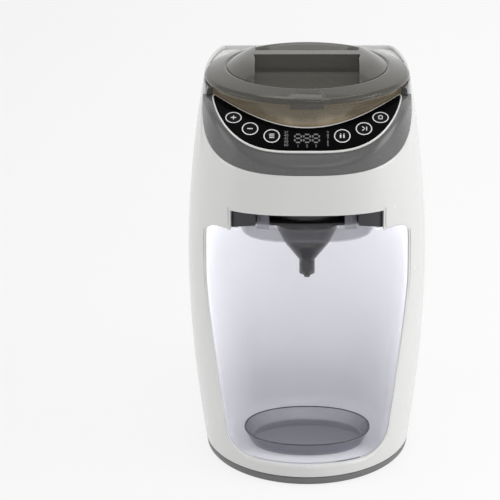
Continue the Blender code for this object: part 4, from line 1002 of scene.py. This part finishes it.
# %% [markdown]
# The gray console caps the front between the seam and the lid. Its columns stand on rays from
# the container's axis: each runs from the lid's rim over the crowned top, round a soft edge
# and down to the seam. The rays start and end where seam and crown meet, at the sides.

# %% Console
hole_radius, console_wall = 0.0973, 0.0024
rear_limit = -0.0337
crown_steps, fall_steps = 12, 8


def outer_ray(angle, z):
    """How far the front outline lies from the axis along a ray, at a height."""
    return oval_ray(angle, half_width(z), front_depth(z), front_power(z))


def ray_point(angle, radius, z):
    return Vector((radius * math.sin(angle), -radius * math.cos(angle), z))


def console_edge(angle):
    """Where the crown meets the front wall along a ray."""
    z = 0.36
    for _ in range(14):
        z = crown_z(-outer_ray(angle, z) * math.cos(angle))
    return outer_ray(angle, z), z


def seam_on_ray(angle):
    """Height at which the front wall meets the seam along a ray."""
    low, high = 0.300, shell_top
    for _ in range(24):
        middle = (low + high) / 2
        if middle > seam_z(-outer_ray(angle, middle) * math.cos(angle)):
            high = middle
        else:
            low = middle
    return high + gap


def console_column(angle):
    radius, top = console_edge(angle)
    bottom = min(seam_on_ray(angle), top - 0.0006)
    inner = ray_point(angle, hole_radius, crown_z(-hole_radius * math.cos(angle)))
    corner = ray_point(angle, radius, top)
    down = Vector((0, 0, -1))
    soft = min(0.006, 0.42 * (top - bottom), 0.42 * (radius - hole_radius))
    lip = min(0.0012, 0.3 * (radius - hole_radius))
    outwards = ray_point(angle, 1, 0)
    column = [inner + down * 0.006, inner + down * 0.003]
    column += softened(inner + down * lip, inner, inner + outwards * lip, 3)
    for share in span(0, 1, crown_steps):
        r = hole_radius + lip + (radius - soft - hole_radius - lip) * share
        column.append(ray_point(angle, r, crown_z(-r * math.cos(angle))))
    below = ray_point(angle, outer_ray(angle, top - soft), top - soft)
    column += softened(column[-1], corner, below, 6)[1:]
    for share in span(0, 1, fall_steps)[1:]:
        z = top - soft + (bottom - top + soft) * share
        column.append(ray_point(angle, outer_ray(angle, z), z))
    return column


side_turn = math.radians(60)
while console_edge(side_turn)[0] * math.cos(side_turn) > -rear_limit:
    side_turn += math.radians(0.1)
console_columns = [console_column(angle) for angle in span(-side_turn, side_turn, 200)]
console = walled("console", list(zip(*console_columns)), (0, 0, 0.25), console_wall)
dress(console, console_gray, "housing", "console_gray", "console_bezel", degrees=50)
print("console from -", round(math.degrees(side_turn), 1), "degrees to the same on the right")

# %% [markdown]
# Beside the container the gap between the bowl and the housing's wall is closed by a gray
# rail on each side. It is laid as a stack of closed outlines and runs on from the console.

# %% Side rails
rail_inner, rail_low, rail_high = 0.0991, 0.3744, 0.3826
rail_start, rail_end = math.radians(68), math.radians(112)


def wall_ray(angle, z, inset):
    """Like outer_ray, for the front and for the side behind the axis."""
    if math.cos(angle) > 0:
        return outer_ray(angle, z) - inset
    return oval_ray(angle, half_width(z), rear_depth(z), rear_power) - inset


def rail_outline(side, z, inset):
    angles = span(rail_start, rail_end, 40)
    outer = [ray_point(side * a, wall_ray(a, z, shell_wall + gap) - inset, z) for a in angles]
    inner = [ray_point(side * a, rail_inner + inset, z) for a in reversed(angles)]
    return outer + inner


for rail_name, side_sign in (("rail_left", -1), ("rail_right", 1)):
    rail_rows = [rail_outline(side_sign, z, inset) for z, inset in (
        (rail_low, 0), (rail_high - 0.0008, 0), (rail_high - 0.0002, 0.0002),
        (rail_high, 0.0007))]
    rail = closed_shell(laid(rail_name, rail_rows, closed=True))
    dress(rail, console_gray, "housing", "console_gray")

# %% [markdown]
# The control panel follows the crown, so each of its points is given as a plan place and a
# height above that surface, measured square to it. The silver border is one closed loop of
# section swept round the crescent. The film lies inside it, with six holes for the keys.

# %% Panel border and film
panel_inner, panel_half, panel_front, panel_power = 0.0977, 0.0932, 0.1207, 3.6
panel_margin, film_face = 0.0019, 0.0022
tip_width, tip_taper = 0.0012, 0.06
border_section = [(0, 0.0003), (0, 0.0014), (0.0003, 0.0018), (0.0008, 0.0019),
                  (0.0013, 0.0018), (0.0016, 0.0014), (0.0016, 0.0003)]


def crown_lean(y):
    """The sine of the angle by which the crown falls away at a plan place."""
    return min(0, y - crown_start) / crown_radius


def on_crown(x, y, above=0):
    lean = crown_lean(y)
    return Vector((x, y + above * lean, crown_z(y) + above * math.sqrt(1 - lean * lean)))


def panel_outer(angle):
    return oval_ray(angle, panel_half, panel_front, panel_power)


def crescent_rows(margin, rows, steps=150):
    """Plan points of the panel's crescent, drawn in by a margin, as rows from tip to tip."""
    inner = panel_inner + margin
    tip = math.radians(66)
    while panel_outer(tip) - panel_inner - 2 * margin < tip_width:
        tip -= math.radians(0.25)
    grid = [[] for _ in range(rows + 1)]
    for i in range(steps + 1):
        share = -math.cos(math.pi * i / steps)
        angle = tip * share
        outer = panel_outer(angle) - margin
        end = max(0, (abs(share) - 1 + tip_taper) / tip_taper)
        width = (outer - inner) * math.sqrt(1 - end * end * 0.9)
        for j in range(rows + 1):
            radius = (inner + outer) / 2 + width * (j / rows - 0.5)
            grid[j].append((radius * math.sin(angle), -radius * math.cos(angle)))
    return grid


def crescent_loop(margin, above):
    """The crescent's closed border line at a margin and a height above the crown."""
    inner_row, outer_row = crescent_rows(margin, 1)
    return [on_crown(x, y, above) for x, y in inner_row + outer_row[::-1]]


loops = [crescent_loop(margin, above) for margin, above in border_section]
panel_border = faced_out(laid("panel_border", loops + [loops[0]], closed=True))
dress(panel_border, silver, "housing", "silver", "panel_frame")

film_rows = [[on_crown(x, y, film_face) for x, y in row]
             for row in crescent_rows(panel_margin, 12)]
panel_film = walled("panel_film", film_rows, (0, 0, 0.25), 0.0010)
key_degrees = (-39.0, -28.6, -17.5, 39.0, 28.6, 17.5)
key_share, hole_clear = 0.54, 0.0004
key_radius = 0.0080
key_spots = []
for key_angle in map(math.radians, key_degrees):
    reach = panel_inner + key_share * (panel_outer(key_angle) - panel_inner)
    key_spots.append((reach * math.sin(key_angle), -reach * math.cos(key_angle)))


def key_frame(x, y):
    """Place and turn of a key: its Z stands square to the crown."""
    turn = Matrix.Rotation(-math.asin(crown_lean(y)), 4, "X")
    return Matrix.Translation(placed(*on_crown(x, y))) @ turn


def moved_into(piece, frame_matrix):
    """Put a piece that was drawn round the origin at its place, in its mesh."""
    piece.data.transform(frame_matrix)
    piece.data.update()
    return piece


def disc_at(radius, low, high, frame_matrix, steps=64):
    disc = fresh(bpy.ops.mesh.primitive_cylinder_add, "disc", vertices=steps, radius=radius,
                 depth=high - low, location=(0, 0, (low + high) / 2))
    return moved_into(disc, frame_matrix)


cut_by(panel_film, *[disc_at(key_radius + hole_clear, -0.004, 0.006, key_frame(x, y))
                     for x, y in key_spots])
dress(panel_film, panel_black, "housing", "panel_black", "panel_overlay")

# %% [markdown]
# Each key is a shallow dished button with a soft edge, and a thin printed ring and sign on it.
# The sign is drawn flat round the origin in simple bars, joined into one thin piece, and then
# laid on its key.

# %% Keys
key_low, key_high = 0.0008, 0.0025
sign_low, sign_high = 0.00246, 0.00256
key_bodies = ["plus_key", "minus_key", "third_key", "sixth_key", "fifth_key", "fourth_key"]
to_origin = Matrix.Translation((0, -axis_y, 0))


def key_cap(name, frame_matrix):
    """A round key: its top is dished by a hair towards the middle."""
    profile = [(0, key_low), (key_radius - 0.0002, key_low), (key_radius, key_low + 0.0002),
               (key_radius, key_high - 0.0005), (key_radius - 0.0002, key_high - 0.00015),
               (key_radius - 0.0006, key_high), (key_radius - 0.0012, key_high - 0.00002),
               (key_radius * 0.4, key_high - 0.0001), (0, key_high - 0.00012)]
    return moved_into(spun(name, profile, steps=64), frame_matrix @ to_origin)


def bar(width, height, x=0, y=0, turn=0, side=0.00035):
    """One flat bar of a printed sign, as a thin plate with rounded corners."""
    plate = fresh(bpy.ops.mesh.primitive_cube_add, "bar", size=1,
                  location=(x, y, (sign_low + sign_high) / 2), rotation=(0, 0, turn),
                  scale=(width, height, sign_high - sign_low))
    for face_edge in plate.data.edges:
        a, b = (plate.data.vertices[i].co for i in face_edge.vertices)
        face_edge.select = abs(a.z - b.z) > 0.00005
    bpy.ops.object.mode_set(mode="EDIT")
    bpy.ops.mesh.select_mode(type="EDGE")
    bpy.ops.mesh.bevel(offset=min(side, width * 0.4, height * 0.4), segments=3, affect="EDGES")
    leave_edit()
    return plate


def ring_sign(outer, inner):
    ring = spun("ring", [(inner, sign_low), (inner, sign_high), (outer, sign_high),
                         (outer, sign_low)], steps=64)
    return moved_into(ring, to_origin)


def gathered(name, plates):
    """Several separate flat marks as one piece."""
    bpy.ops.object.select_all(action="DESELECT")
    for plate in plates:
        plate.select_set(True)
    bpy.context.view_layer.objects.active = plates[0]
    if len(plates) > 1:
        bpy.ops.object.join()
    plates[0].name = plates[0].data.name = name
    return plates[0]


sign_bars = {
    1: [(0.0052, 0.0011), (0.0011, 0.0020, 0, 0.0016), (0.0011, 0.0020, 0, -0.0016)],
    2: [(0.0052, 0.0011)],
    3: [(0.0050, 0.0009, 0, 0.0020), (0.0050, 0.0009), (0.0050, 0.0009, 0, -0.0020)],
    4: [(0.0042, 0.0009, 0, -0.0022), (0.0009, 0.0034, -0.0017, -0.0002),
        (0.0009, 0.0034, 0.0017, -0.0002), (0.0032, 0.0009, -0.0011, 0.0021, 0.7),
        (0.0032, 0.0009, 0.0011, 0.0021, -0.7)],
    5: [(0.0009, 0.0050, 0.0026, 0), (0.0036, 0.0009, -0.0004, 0.0013, -0.75),
        (0.0036, 0.0009, -0.0004, -0.0013, 0.75)],
    6: [(0.0015, 0.0038, -0.0016, -0.0006), (0.0009, 0.0012, -0.0016, 0.0022),
        (0.0015, 0.0038, 0.0016, -0.0006), (0.0009, 0.0012, 0.0016, 0.0022)],
}
for number, ((x, y), body) in enumerate(zip(key_spots, key_bodies), 1):
    here = key_frame(x, y)
    dress(key_cap(f"key_cap_{number}", here), key_black, body, "key_black", f"key_{number}")
    marks = [ring_sign(key_radius - 0.0001, key_radius - 0.0011)]
    marks += [bar(*row) for row in sign_bars[number]]
    sign = moved_into(gathered(f"key_sign_{number}", marks), here)
    dress(sign, pale_ink, body, "key_black")

# %% [markdown]
# Dim digits glow through the film between the keys, as seven bars each, and small plain
# numbers stand in a column on both sides of them. All marks are laid on the crown: a flat
# sheet's X goes along the arc and its Y up the slope, and every vertex is then carried over.

# %% Digits and scale on the panel
mark_low, mark_high = film_face - 0.00004, film_face + 0.00005


def on_panel(piece, x_middle, y_middle):
    """Carry a flat sheet over to the crown round one plan point."""
    start = math.asin(-crown_lean(y_middle))
    for vertex in piece.data.vertices:
        x, along, z = vertex.co
        share = (z - sign_low) / (sign_high - sign_low)
        reach = crown_radius + mark_low + (mark_high - mark_low) * share
        slope = start - along / reach
        vertex.co = placed(x_middle + x, crown_start - reach * math.sin(slope),
                           crown_base + reach * math.cos(slope))
    piece.data.update()
    return piece


def seven_bars(width, height, thick):
    """The seven bars of a digit, clockwise from the top, then the middle one."""
    half, quarter = height / 2, height / 4
    flat, upright = (width - thick * 1.3, thick), (thick, half - thick * 1.3)
    side = width / 2
    return [(*flat, 0, half), (*upright, side, quarter), (*upright, side, -quarter),
            (*flat, 0, -half), (*upright, -side, -quarter), (*upright, -side, quarter),
            (*flat, 0, 0)]


def small_number(text, size, x, y):
    """A plain printed number, as a thin flat mesh."""
    bpy.ops.object.select_all(action="DESELECT")
    bpy.ops.object.text_add(location=(0, 0, 0))
    label = bpy.context.active_object
    label.data.body = text
    label.data.size = size
    label.data.align_x = "CENTER"
    label.data.align_y = "CENTER"
    label.data.resolution_u = 3
    bpy.ops.object.convert(target="MESH")
    label = bpy.context.active_object
    finish_with(label, "TRIANGULATE")
    finish_with(label, "SOLIDIFY", thickness=sign_high - sign_low, offset=-1)
    low = min(vertex.co.z for vertex in label.data.vertices)
    return moved_into(label, Matrix.Translation((x, y, sign_low - low)))


display_share = 0.46
display_y = -(panel_inner + display_share * (panel_front - panel_inner))
digit_pitch = 0.0086
digit_marks = [bar(w, h, place * digit_pitch + x, y - 0.0014, side=0.0003)
               for place in (-1, 0, 1) for w, h, x, y in seven_bars(0.0062, 0.0092, 0.0016)]
digits = on_panel(gathered("panel_digits", digit_marks), 0, display_y)
dress(digits, dim_ink, "housing", "panel_black", "display_module")

number_size, number_pitch, number_top = 0.0042, 0.0036, 0.0056
number_rows = [(value, place * 0.0200, number_top - number_pitch * row)
               for place, values in ((-1, (37, 40, 45, 50, 60)), (1, (9, 8, 7, 6, 5)))
               for row, value in enumerate(values)]
number_rows += [(value, digit_pitch * (value - 2), -0.0100) for value in (1, 2, 3)]
scale_numbers = [small_number(str(value), number_size, x, y) for value, x, y in number_rows]
scale = on_panel(gathered("panel_scale", scale_numbers), 0, display_y)
dress(scale, dim_ink, "housing", "panel_black")

# %% [markdown]
# The lid is turned first, as one closed profile: dish, crest, shoulder, skirt and the plug
# that carries the seal. Then come a bar across the dish and two cheeks at its ends, which
# leave a D-shaped finger pocket in front of the bar and one behind it. Their union is one
# moulding, and one bevel softens all of its new edges.

# %% Lid
handle_half, handle_thick, handle_top = 0.051, 0.007, 0.408
pocket_floor, sunk = 0.3896, 0.3885
cheek_rim, cheek_edge, tab_turn = 0.0785, 0.3945, 0.160


def block(name, low, high, edge=0.0):
    """A box between two corners with soft edges; it is always joined or cut later."""
    middle = [(a + b) / 2 for a, b in zip(low, high)]
    size = [b - a for a, b in zip(low, high)]
    piece = fresh(bpy.ops.mesh.primitive_cube_add, name, size=1, location=placed(*middle),
                  scale=size)
    return soft_edges(piece, edge, 3) if edge else piece


lid_profile = filleted([
    (0, pocket_floor, 0), (0.0725, pocket_floor, 0.0015), (0.0810, 0.3950, 0.0040),
    (0.0985, pocket_floor, 0.0030),
    (0.1008, 0.3868, 0.0010), (0.1008, 0.3846, 0.0004), (0.0987, 0.3846, 0.0004),
    (0.0987, 0.3858, 0.0004), (0.0915, 0.3870, 0.0004), (0.0915, 0.3762, 0.0005),
    (0.0897, 0.3762, 0.0005), (0.0897, 0.3880, 0.0010), (0.0810, 0.3924, 0.0030),
    (0.0735, 0.3872, 0.0015), (0, 0.3872, 0)], 4)
lid = spun("lid", lid_profile, steps=160)
cheek_rise, cheek_run = 0.0120, cheek_rim - handle_half
cheek_line = [(r, cheek_edge + cheek_rise
               * math.sin(math.pi / 2 * min(1, (cheek_rim - r) / cheek_run)))
              for r in span(handle_half, cheek_rim, 14)]
cheeks = spun("cheeks", [(0, sunk), (0, 0.4066)] + cheek_line
              + [(cheek_rim, 0.3900), (0.072, sunk)], steps=160)
cut_by(cheeks, block("pockets", (-handle_half, -0.09, 0.380), (handle_half, 0.09, 0.420)))
bar_block = block("handle", (-handle_half - 0.001, -handle_thick, sunk),
                  (handle_half + 0.001, handle_thick, handle_top - 0.0002))
tab_rows = [[ray_point(angle, radius, z) for angle in span(-tab_turn, tab_turn, 24)]
            for radius, z in ((0.0994, 0.3797), (0.1004, 0.3799), (0.1009, 0.3806),
                              (0.1009, 0.3868), (0.1000, 0.3890), (0.0972, 0.3908),
                              (0.0900, 0.3930), (0.0850, 0.3945))]
joined(lid, cheeks, bar_block, walled("tab", tab_rows, (0, 0, 0.380), 0.0019))
soft_edges(lid, 0.0011, 3, 48)
dress(lid, smoky_lid, "lid", "smoky", "powder_lid", degrees=40)

# %% [markdown]
# The powder container under it is a turned bowl with a rolled flange and a rounded foot. It
# has one outlet hole in its floor, over the funnel.

# %% Powder bowl
bowl = spun("powder_bowl", filleted([
    (0.0985, 0.3840, 0.0008), (0.0985, 0.3810, 0.0008), (0.0960, 0.3810, 0.0008),
    (0.0960, 0.3123, 0.0050), (0.0062, 0.3123, 0.0004), (0.0062, 0.3153, 0.0004),
    (0.0940, 0.3153, 0.0030), (0.0940, 0.3840, 0.0005)], 4), steps=160)
funnel_y = -0.057
over_funnel = Matrix.Translation(placed(0, funnel_y, 0))
cut_by(bowl, disc_at(0.012, 0.300, 0.330, over_funnel))
dress(bowl, smoky_bowl, "container", "smoky", "container_bowl")

# %% [markdown]
# The mixing funnel hangs in the drawer's plate by its round pan. Its wall runs from a rolled
# rim through a soft shoulder, down the cone, through a waist and into the spout, where a
# narrower inner nozzle stands a little proud below.

# %% Funnel
funnel = spun("mixing_funnel", filleted([
    (0.0490, 0.2800, 0.0007), (0.0490, 0.2675, 0.0020), (0.0340, 0.2675, 0.0030),
    (0.0335, 0.2540, 0.0150), (0.0220, 0.2310, 0.0300), (0.0077, 0.2130, 0.0040),
    (0.0077, 0.1985, 0.0008), (0.0036, 0.1985, 0.0006), (0.0030, 0.1945, 0.0004),
    (0.0022, 0.1945, 0.0003),
    (0.0024, 0.2000, 0.0010), (0.0059, 0.2010, 0.0010), (0.0059, 0.2137, 0.0040),
    (0.0204, 0.2318, 0.0300), (0.0317, 0.2545, 0.0150), (0.0317, 0.2693, 0.0030),
    (0.0472, 0.2693, 0.0020), (0.0472, 0.2800, 0.0007)], 5), (0, funnel_y), steps=120)
dress(funnel, smoky_funnel, "drawer", "smoky", "funnel")

# %% [markdown]
# A clear splash dish hangs under the drawer. Its plan is a squared oval, its wall curves
# into the floor, and the floor ends in a round hole for the funnel. One grid does it: each
# column runs down the wall, through the corner and in to the hole. Solidify adds the wall.
# Two curved ears of the same plastic stand up beside the drawer's grips.

# %% Splash dish
splash_half, splash_front, splash_back = 0.0655, -0.1200, -0.0050
splash_low, splash_high = 0.2506, 0.2642
splash_hole, splash_wall = 0.0345, 0.0013


def splash_point(angle, z, inset=0):
    middle, deep = (splash_front + splash_back) / 2, (splash_back - splash_front) / 2
    x, y = oval_point(angle, splash_half - inset, deep - inset, 3)
    return Vector((x, middle + y, z))


def splash_column(angle):
    column = [splash_point(angle, z) for z in span(splash_high, splash_low + 0.004, 6)]
    column += softened(column[-1], splash_point(angle, splash_low),
                       splash_point(angle, splash_low, 0.004), 6)[1:]
    hole = Vector((splash_hole * math.cos(angle), funnel_y + splash_hole * math.sin(angle),
                   splash_low))
    return column + [column[-1].lerp(hole, share) for share in span(0, 1, 8)[1:]]


splash_columns = [splash_column(angle) for angle in span(-math.pi, math.pi, 160)[:-1]]
splash = walled("splash_dish", list(zip(*splash_columns)), (0, funnel_y, 0.262), splash_wall,
                closed=True)
dress(splash, splash_clear, "drawer", "clear_plastic", "splash_plate", degrees=40)

ear_inner, ear_outer, ear_foot, ear_top, ear_setback = 0.0365, 0.0485, 0.2640, 0.2800, 0.0109
ears = []
for side_sign in (-1, 1):
    ear_rows = [[(side_sign * x, front_y(x, 0.27, ear_setback), z)
                 for x in span(ear_inner, ear_outer, 12)] for z in span(ear_foot, ear_top, 10)]
    ear = walled("ear", ear_rows, (0, 0, 0.268), splash_wall)
    ears.append(soft_edges(ear, 0.0004, 2, 50))
dress(gathered("splash_ears", ears), splash_side, "drawer", "clear_plastic")

# %% [markdown]
# The drawer itself is a thin plate with two grips, whose faces follow the curve of the
# housing and fill the ends of the notch. Each is laid as a stack of closed outlines.

# %% Drawer
plate_low, plate_high, plate_half = 0.2646, 0.2672, 0.0724
plate_setback, plate_run, wing_start, plate_back = 0.0220, 0.0186, 0.066, -0.005
grip_inner, grip_outer, grip_top, grip_back = 0.0495, 0.0735, 0.2810, -0.0946
grip_rise = 0.0052


def stack(name, outline_at, heights):
    """A solid from closed outlines at several heights, with flat ends."""
    return closed_shell(laid(name, [outline_at(z) for z in heights], closed=True))


def grip_outline(side):
    """A grip's outline at a share of its height; its foot rises towards the middle."""
    def place(x, share):
        foot = plate_low + 0.0001 + grip_rise * (grip_outer - x) / (grip_outer - grip_inner)
        return foot + (grip_top - foot) * share

    def outline(share):
        front = [(side * x, front_y(x, place(x, share), 0.003), place(x, share))
                 for x in span(grip_inner, grip_outer, 12)]
        back = [(side * x, grip_back, place(x, share))
                for x in span(grip_outer, grip_inner, 12)]
        return front + back
    return outline


def plate_outline(z):
    front = []
    for x in span(-plate_half, plate_half, 60):
        wing = max(0, (abs(x) - wing_start) / (plate_half - wing_start))
        front.append((x, front_y(x, z, plate_setback - plate_run * wing), z))
    return front + [(plate_half, plate_back, z), (-plate_half, plate_back, z)]


drawer = stack("funnel_drawer", plate_outline, (plate_low, plate_high))
joined(drawer, *[stack("grip", grip_outline(side), span(0, 1, 8)) for side in (-1, 1)])
cut_by(drawer, disc_at(splash_hole, 0.255, 0.275, over_funnel, 96))
soft_edges(drawer, 0.0007, 3, 45)
dress(drawer, dark_plastic, "drawer", "dark_plastic", "funnel_holder")

# %% [markdown]
# The drip tray is an oval dish with a sloping wall and a rolled rim. A closed profile is laid
# round an oval: its first number is the half width, and the depth follows from the oval.

# %% Drip tray
tray_y, tray_share, tray_power = -0.056, 0.84, 2.15
tray_profile = filleted([
    (0, 0.0228, 0), (0.0562, 0.0228, 0.0012), (0.0620, 0.0342, 0.0010),
    (0.0627, 0.0350, 0.0005), (0.0625, 0.0361, 0.0006), (0.0610, 0.0361, 0.0006),
    (0.0604, 0.0350, 0.0010),
    (0.0552, 0.0246, 0.0030), (0, 0.0246, 0)], 5)


def round_oval(name, section):
    """A section of (half width, height) points, carried round the tray's oval."""
    rows = []
    for half, z in section:
        oval = [oval_point(turn, half, half * tray_share, tray_power)
                for turn in span(0, 2 * math.pi, 144)[:-1]]
        rows.append([(x, tray_y + y, z) for x, y in oval])
    return faced_out(laid(name, rows, closed=True))


tray = round_oval("oval_tray", tray_profile)
dress(tray, tray_smoke, "tray", "clear_plastic", "drip_tray")

rim_section = [(0.0616 + 0.0009 * math.cos(turn), 0.0357 + 0.0006 * math.sin(turn))
               for turn in span(0, 2 * math.pi, 10)]
dress(round_oval("tray_rim", rim_section), smoky_funnel, "tray", "clear_plastic")

# %% [markdown]
# Behind the flat back wall stand the shelf and the water tank. Their plan is the rear end of
# the barrel, closed by a flat front, with rounded corners. The same outline drawn in step by
# step gives wall, rounded edge and top in one grid, which ends in a pole or in a hole.

# %% Outline behind the back wall
rear_pole_y = 0.150
tank_gap = 0.0006


def tank_outline(z, inset=0, corner=0.006, trim=4):
    flat = back_wall_y + tank_gap + max(0, inset - tank_gap)
    deep = rear_depth(z) - inset
    start = math.asin(min(1, (flat / deep) ** (rear_power / 2)))
    angles = span(start, math.pi - start, 72)
    arc = [rear_point(angle, z, inset)[:2] for angle in angles]
    corners = [(*arc[0], corner)] + [(x, max(y, flat), 0) for x, y in arc[trim:-trim]]
    corners += [(*arc[-1], corner)]
    corners += [(x, flat, 0) for x in span(arc[-1][0] * 0.8, arc[0][0] * 0.8, 24)]
    return [(x, y, z) for x, y in filleted(corners, 6)]


def drawn_to(row, spot_radius, z, shares, y=rear_pole_y):
    """Rows from an outline in to a small circle, all at one height."""
    rows = []
    for share in shares:
        ring = []
        for px, py, _ in row:
            turn = math.atan2(py - y, px)
            goal = (spot_radius * math.cos(turn), y + spot_radius * math.sin(turn))
            ring.append((px + (goal[0] - px) * share, py + (goal[1] - py) * share, z))
        rows.append(ring)
    return rows


# %% [markdown]
# The shelf is a hollow foot behind the machine. Its top ends round the tank's seat, and a
# block cuts the recess of the mains inlet out of its back.

# %% Tank shelf
shelf_top = 0.040
shelf_rows = [tank_outline(z, 0) for z in span(band_top, shelf_top - 0.002, 8)]
shelf_rows += [tank_outline(shelf_top - 0.0006, 0.0006), tank_outline(shelf_top, 0.0020)]
shelf_rows += drawn_to(shelf_rows[-1], 0.0115, shelf_top, span(0, 1, 12)[1:])
shelf = walled("tank_shelf_shell", shelf_rows, (0, rear_pole_y, 0.02), shell_wall, closed=True)
cut_by(shelf, block("inlet_hole", (0.0177, 0.160, 0.0137), (0.0423, 0.200, 0.0303), 0.0015))
dress(shelf, white_gloss, "housing", "white_gloss", "tank_shelf", degrees=40)

# %% [markdown]
# The tank stands on the shelf. Its rows start at the valve's hole in the floor, run out to the
# wall and go up to the open top. The lid has a rim over the tank's edge and a plug inside it.

# %% Water tank and its lid
tank_rows = drawn_to(tank_outline(0.0405, 0.0052), 0.0083, 0.0405, span(1, 0, 12))
tank_rows += [tank_outline(0.0411, 0.0026), tank_outline(0.0425, 0.0012)]
tank_rows += [tank_outline(z, 0.0012) for z in span(0.046, 0.3000, 40)]
tank = walled("tank_shell", tank_rows, (0, rear_pole_y, 0.17), 0.0022, closed=True)
dress(tank, tank_clear, "tank", "clear_plastic", "water_tank", degrees=40)

cover_rows = [tank_outline(z, inset) for z, inset in (
    (0.2962, 0.0040), (0.3003, 0.0040), (0.3003, 0.0006), (0.3024, 0.0006),
    (0.3032, 0.0012), (0.3035, 0.0024), (0.3035, 0.0060), (0.3028, 0.0072))]
cover_rows += drawn_to(cover_rows[-1], 0.0, 0.3028, span(0, 1, 10)[1:])
tank_cover = walled("tank_cover", cover_rows, (0, rear_pole_y, 0.28), 0.0018, closed=True)
dress(tank_cover, dark_plastic, "tank_cover", "dark_plastic", "tank_lid", degrees=40)

# %% [markdown]
# The base plate closes the machine below. Its gray band is the only part of it that shows, so
# its lower edge is rounded, and its rim stops a hair below the white shells, which leaves the
# thin dark line that the real parting has.

# %% Base plate
foot_z, base_pole_y = 0.002, 0.03


def base_loop(z, inset=0):
    loop = []
    for angle in span(0, 2 * math.pi, 240)[:-1]:
        deep, power = ((rear_depth(z), rear_power) if angle < math.pi
                       else (front_depth(z), front_power(z)))
        loop.append((*oval_point(angle, half_width(z) - inset, deep - inset, power), z))
    return loop


base_rows = drawn_to(base_loop(foot_z, 0.0016), 0.0, foot_z, span(1, 0, 8), base_pole_y)
base_rows += [base_loop(z, inset) for z, inset in (
    (foot_z + 0.0003, 0.0006), (foot_z + 0.0010, 0.0001), (0.0050, 0), (0.0086, 0),
    (0.0090, 0.0002), (0.0091, 0.0006), (0.0091, 0.0028), (0.0052, 0.0030))]
base_rows += drawn_to(base_rows[-1], 0.0, 0.0052, span(0, 1, 8)[1:], base_pole_y)
base = faced_out(laid("base_band", base_rows, closed=True))
dress(base, base_gray, "housing", "base_gray", "base_plate")
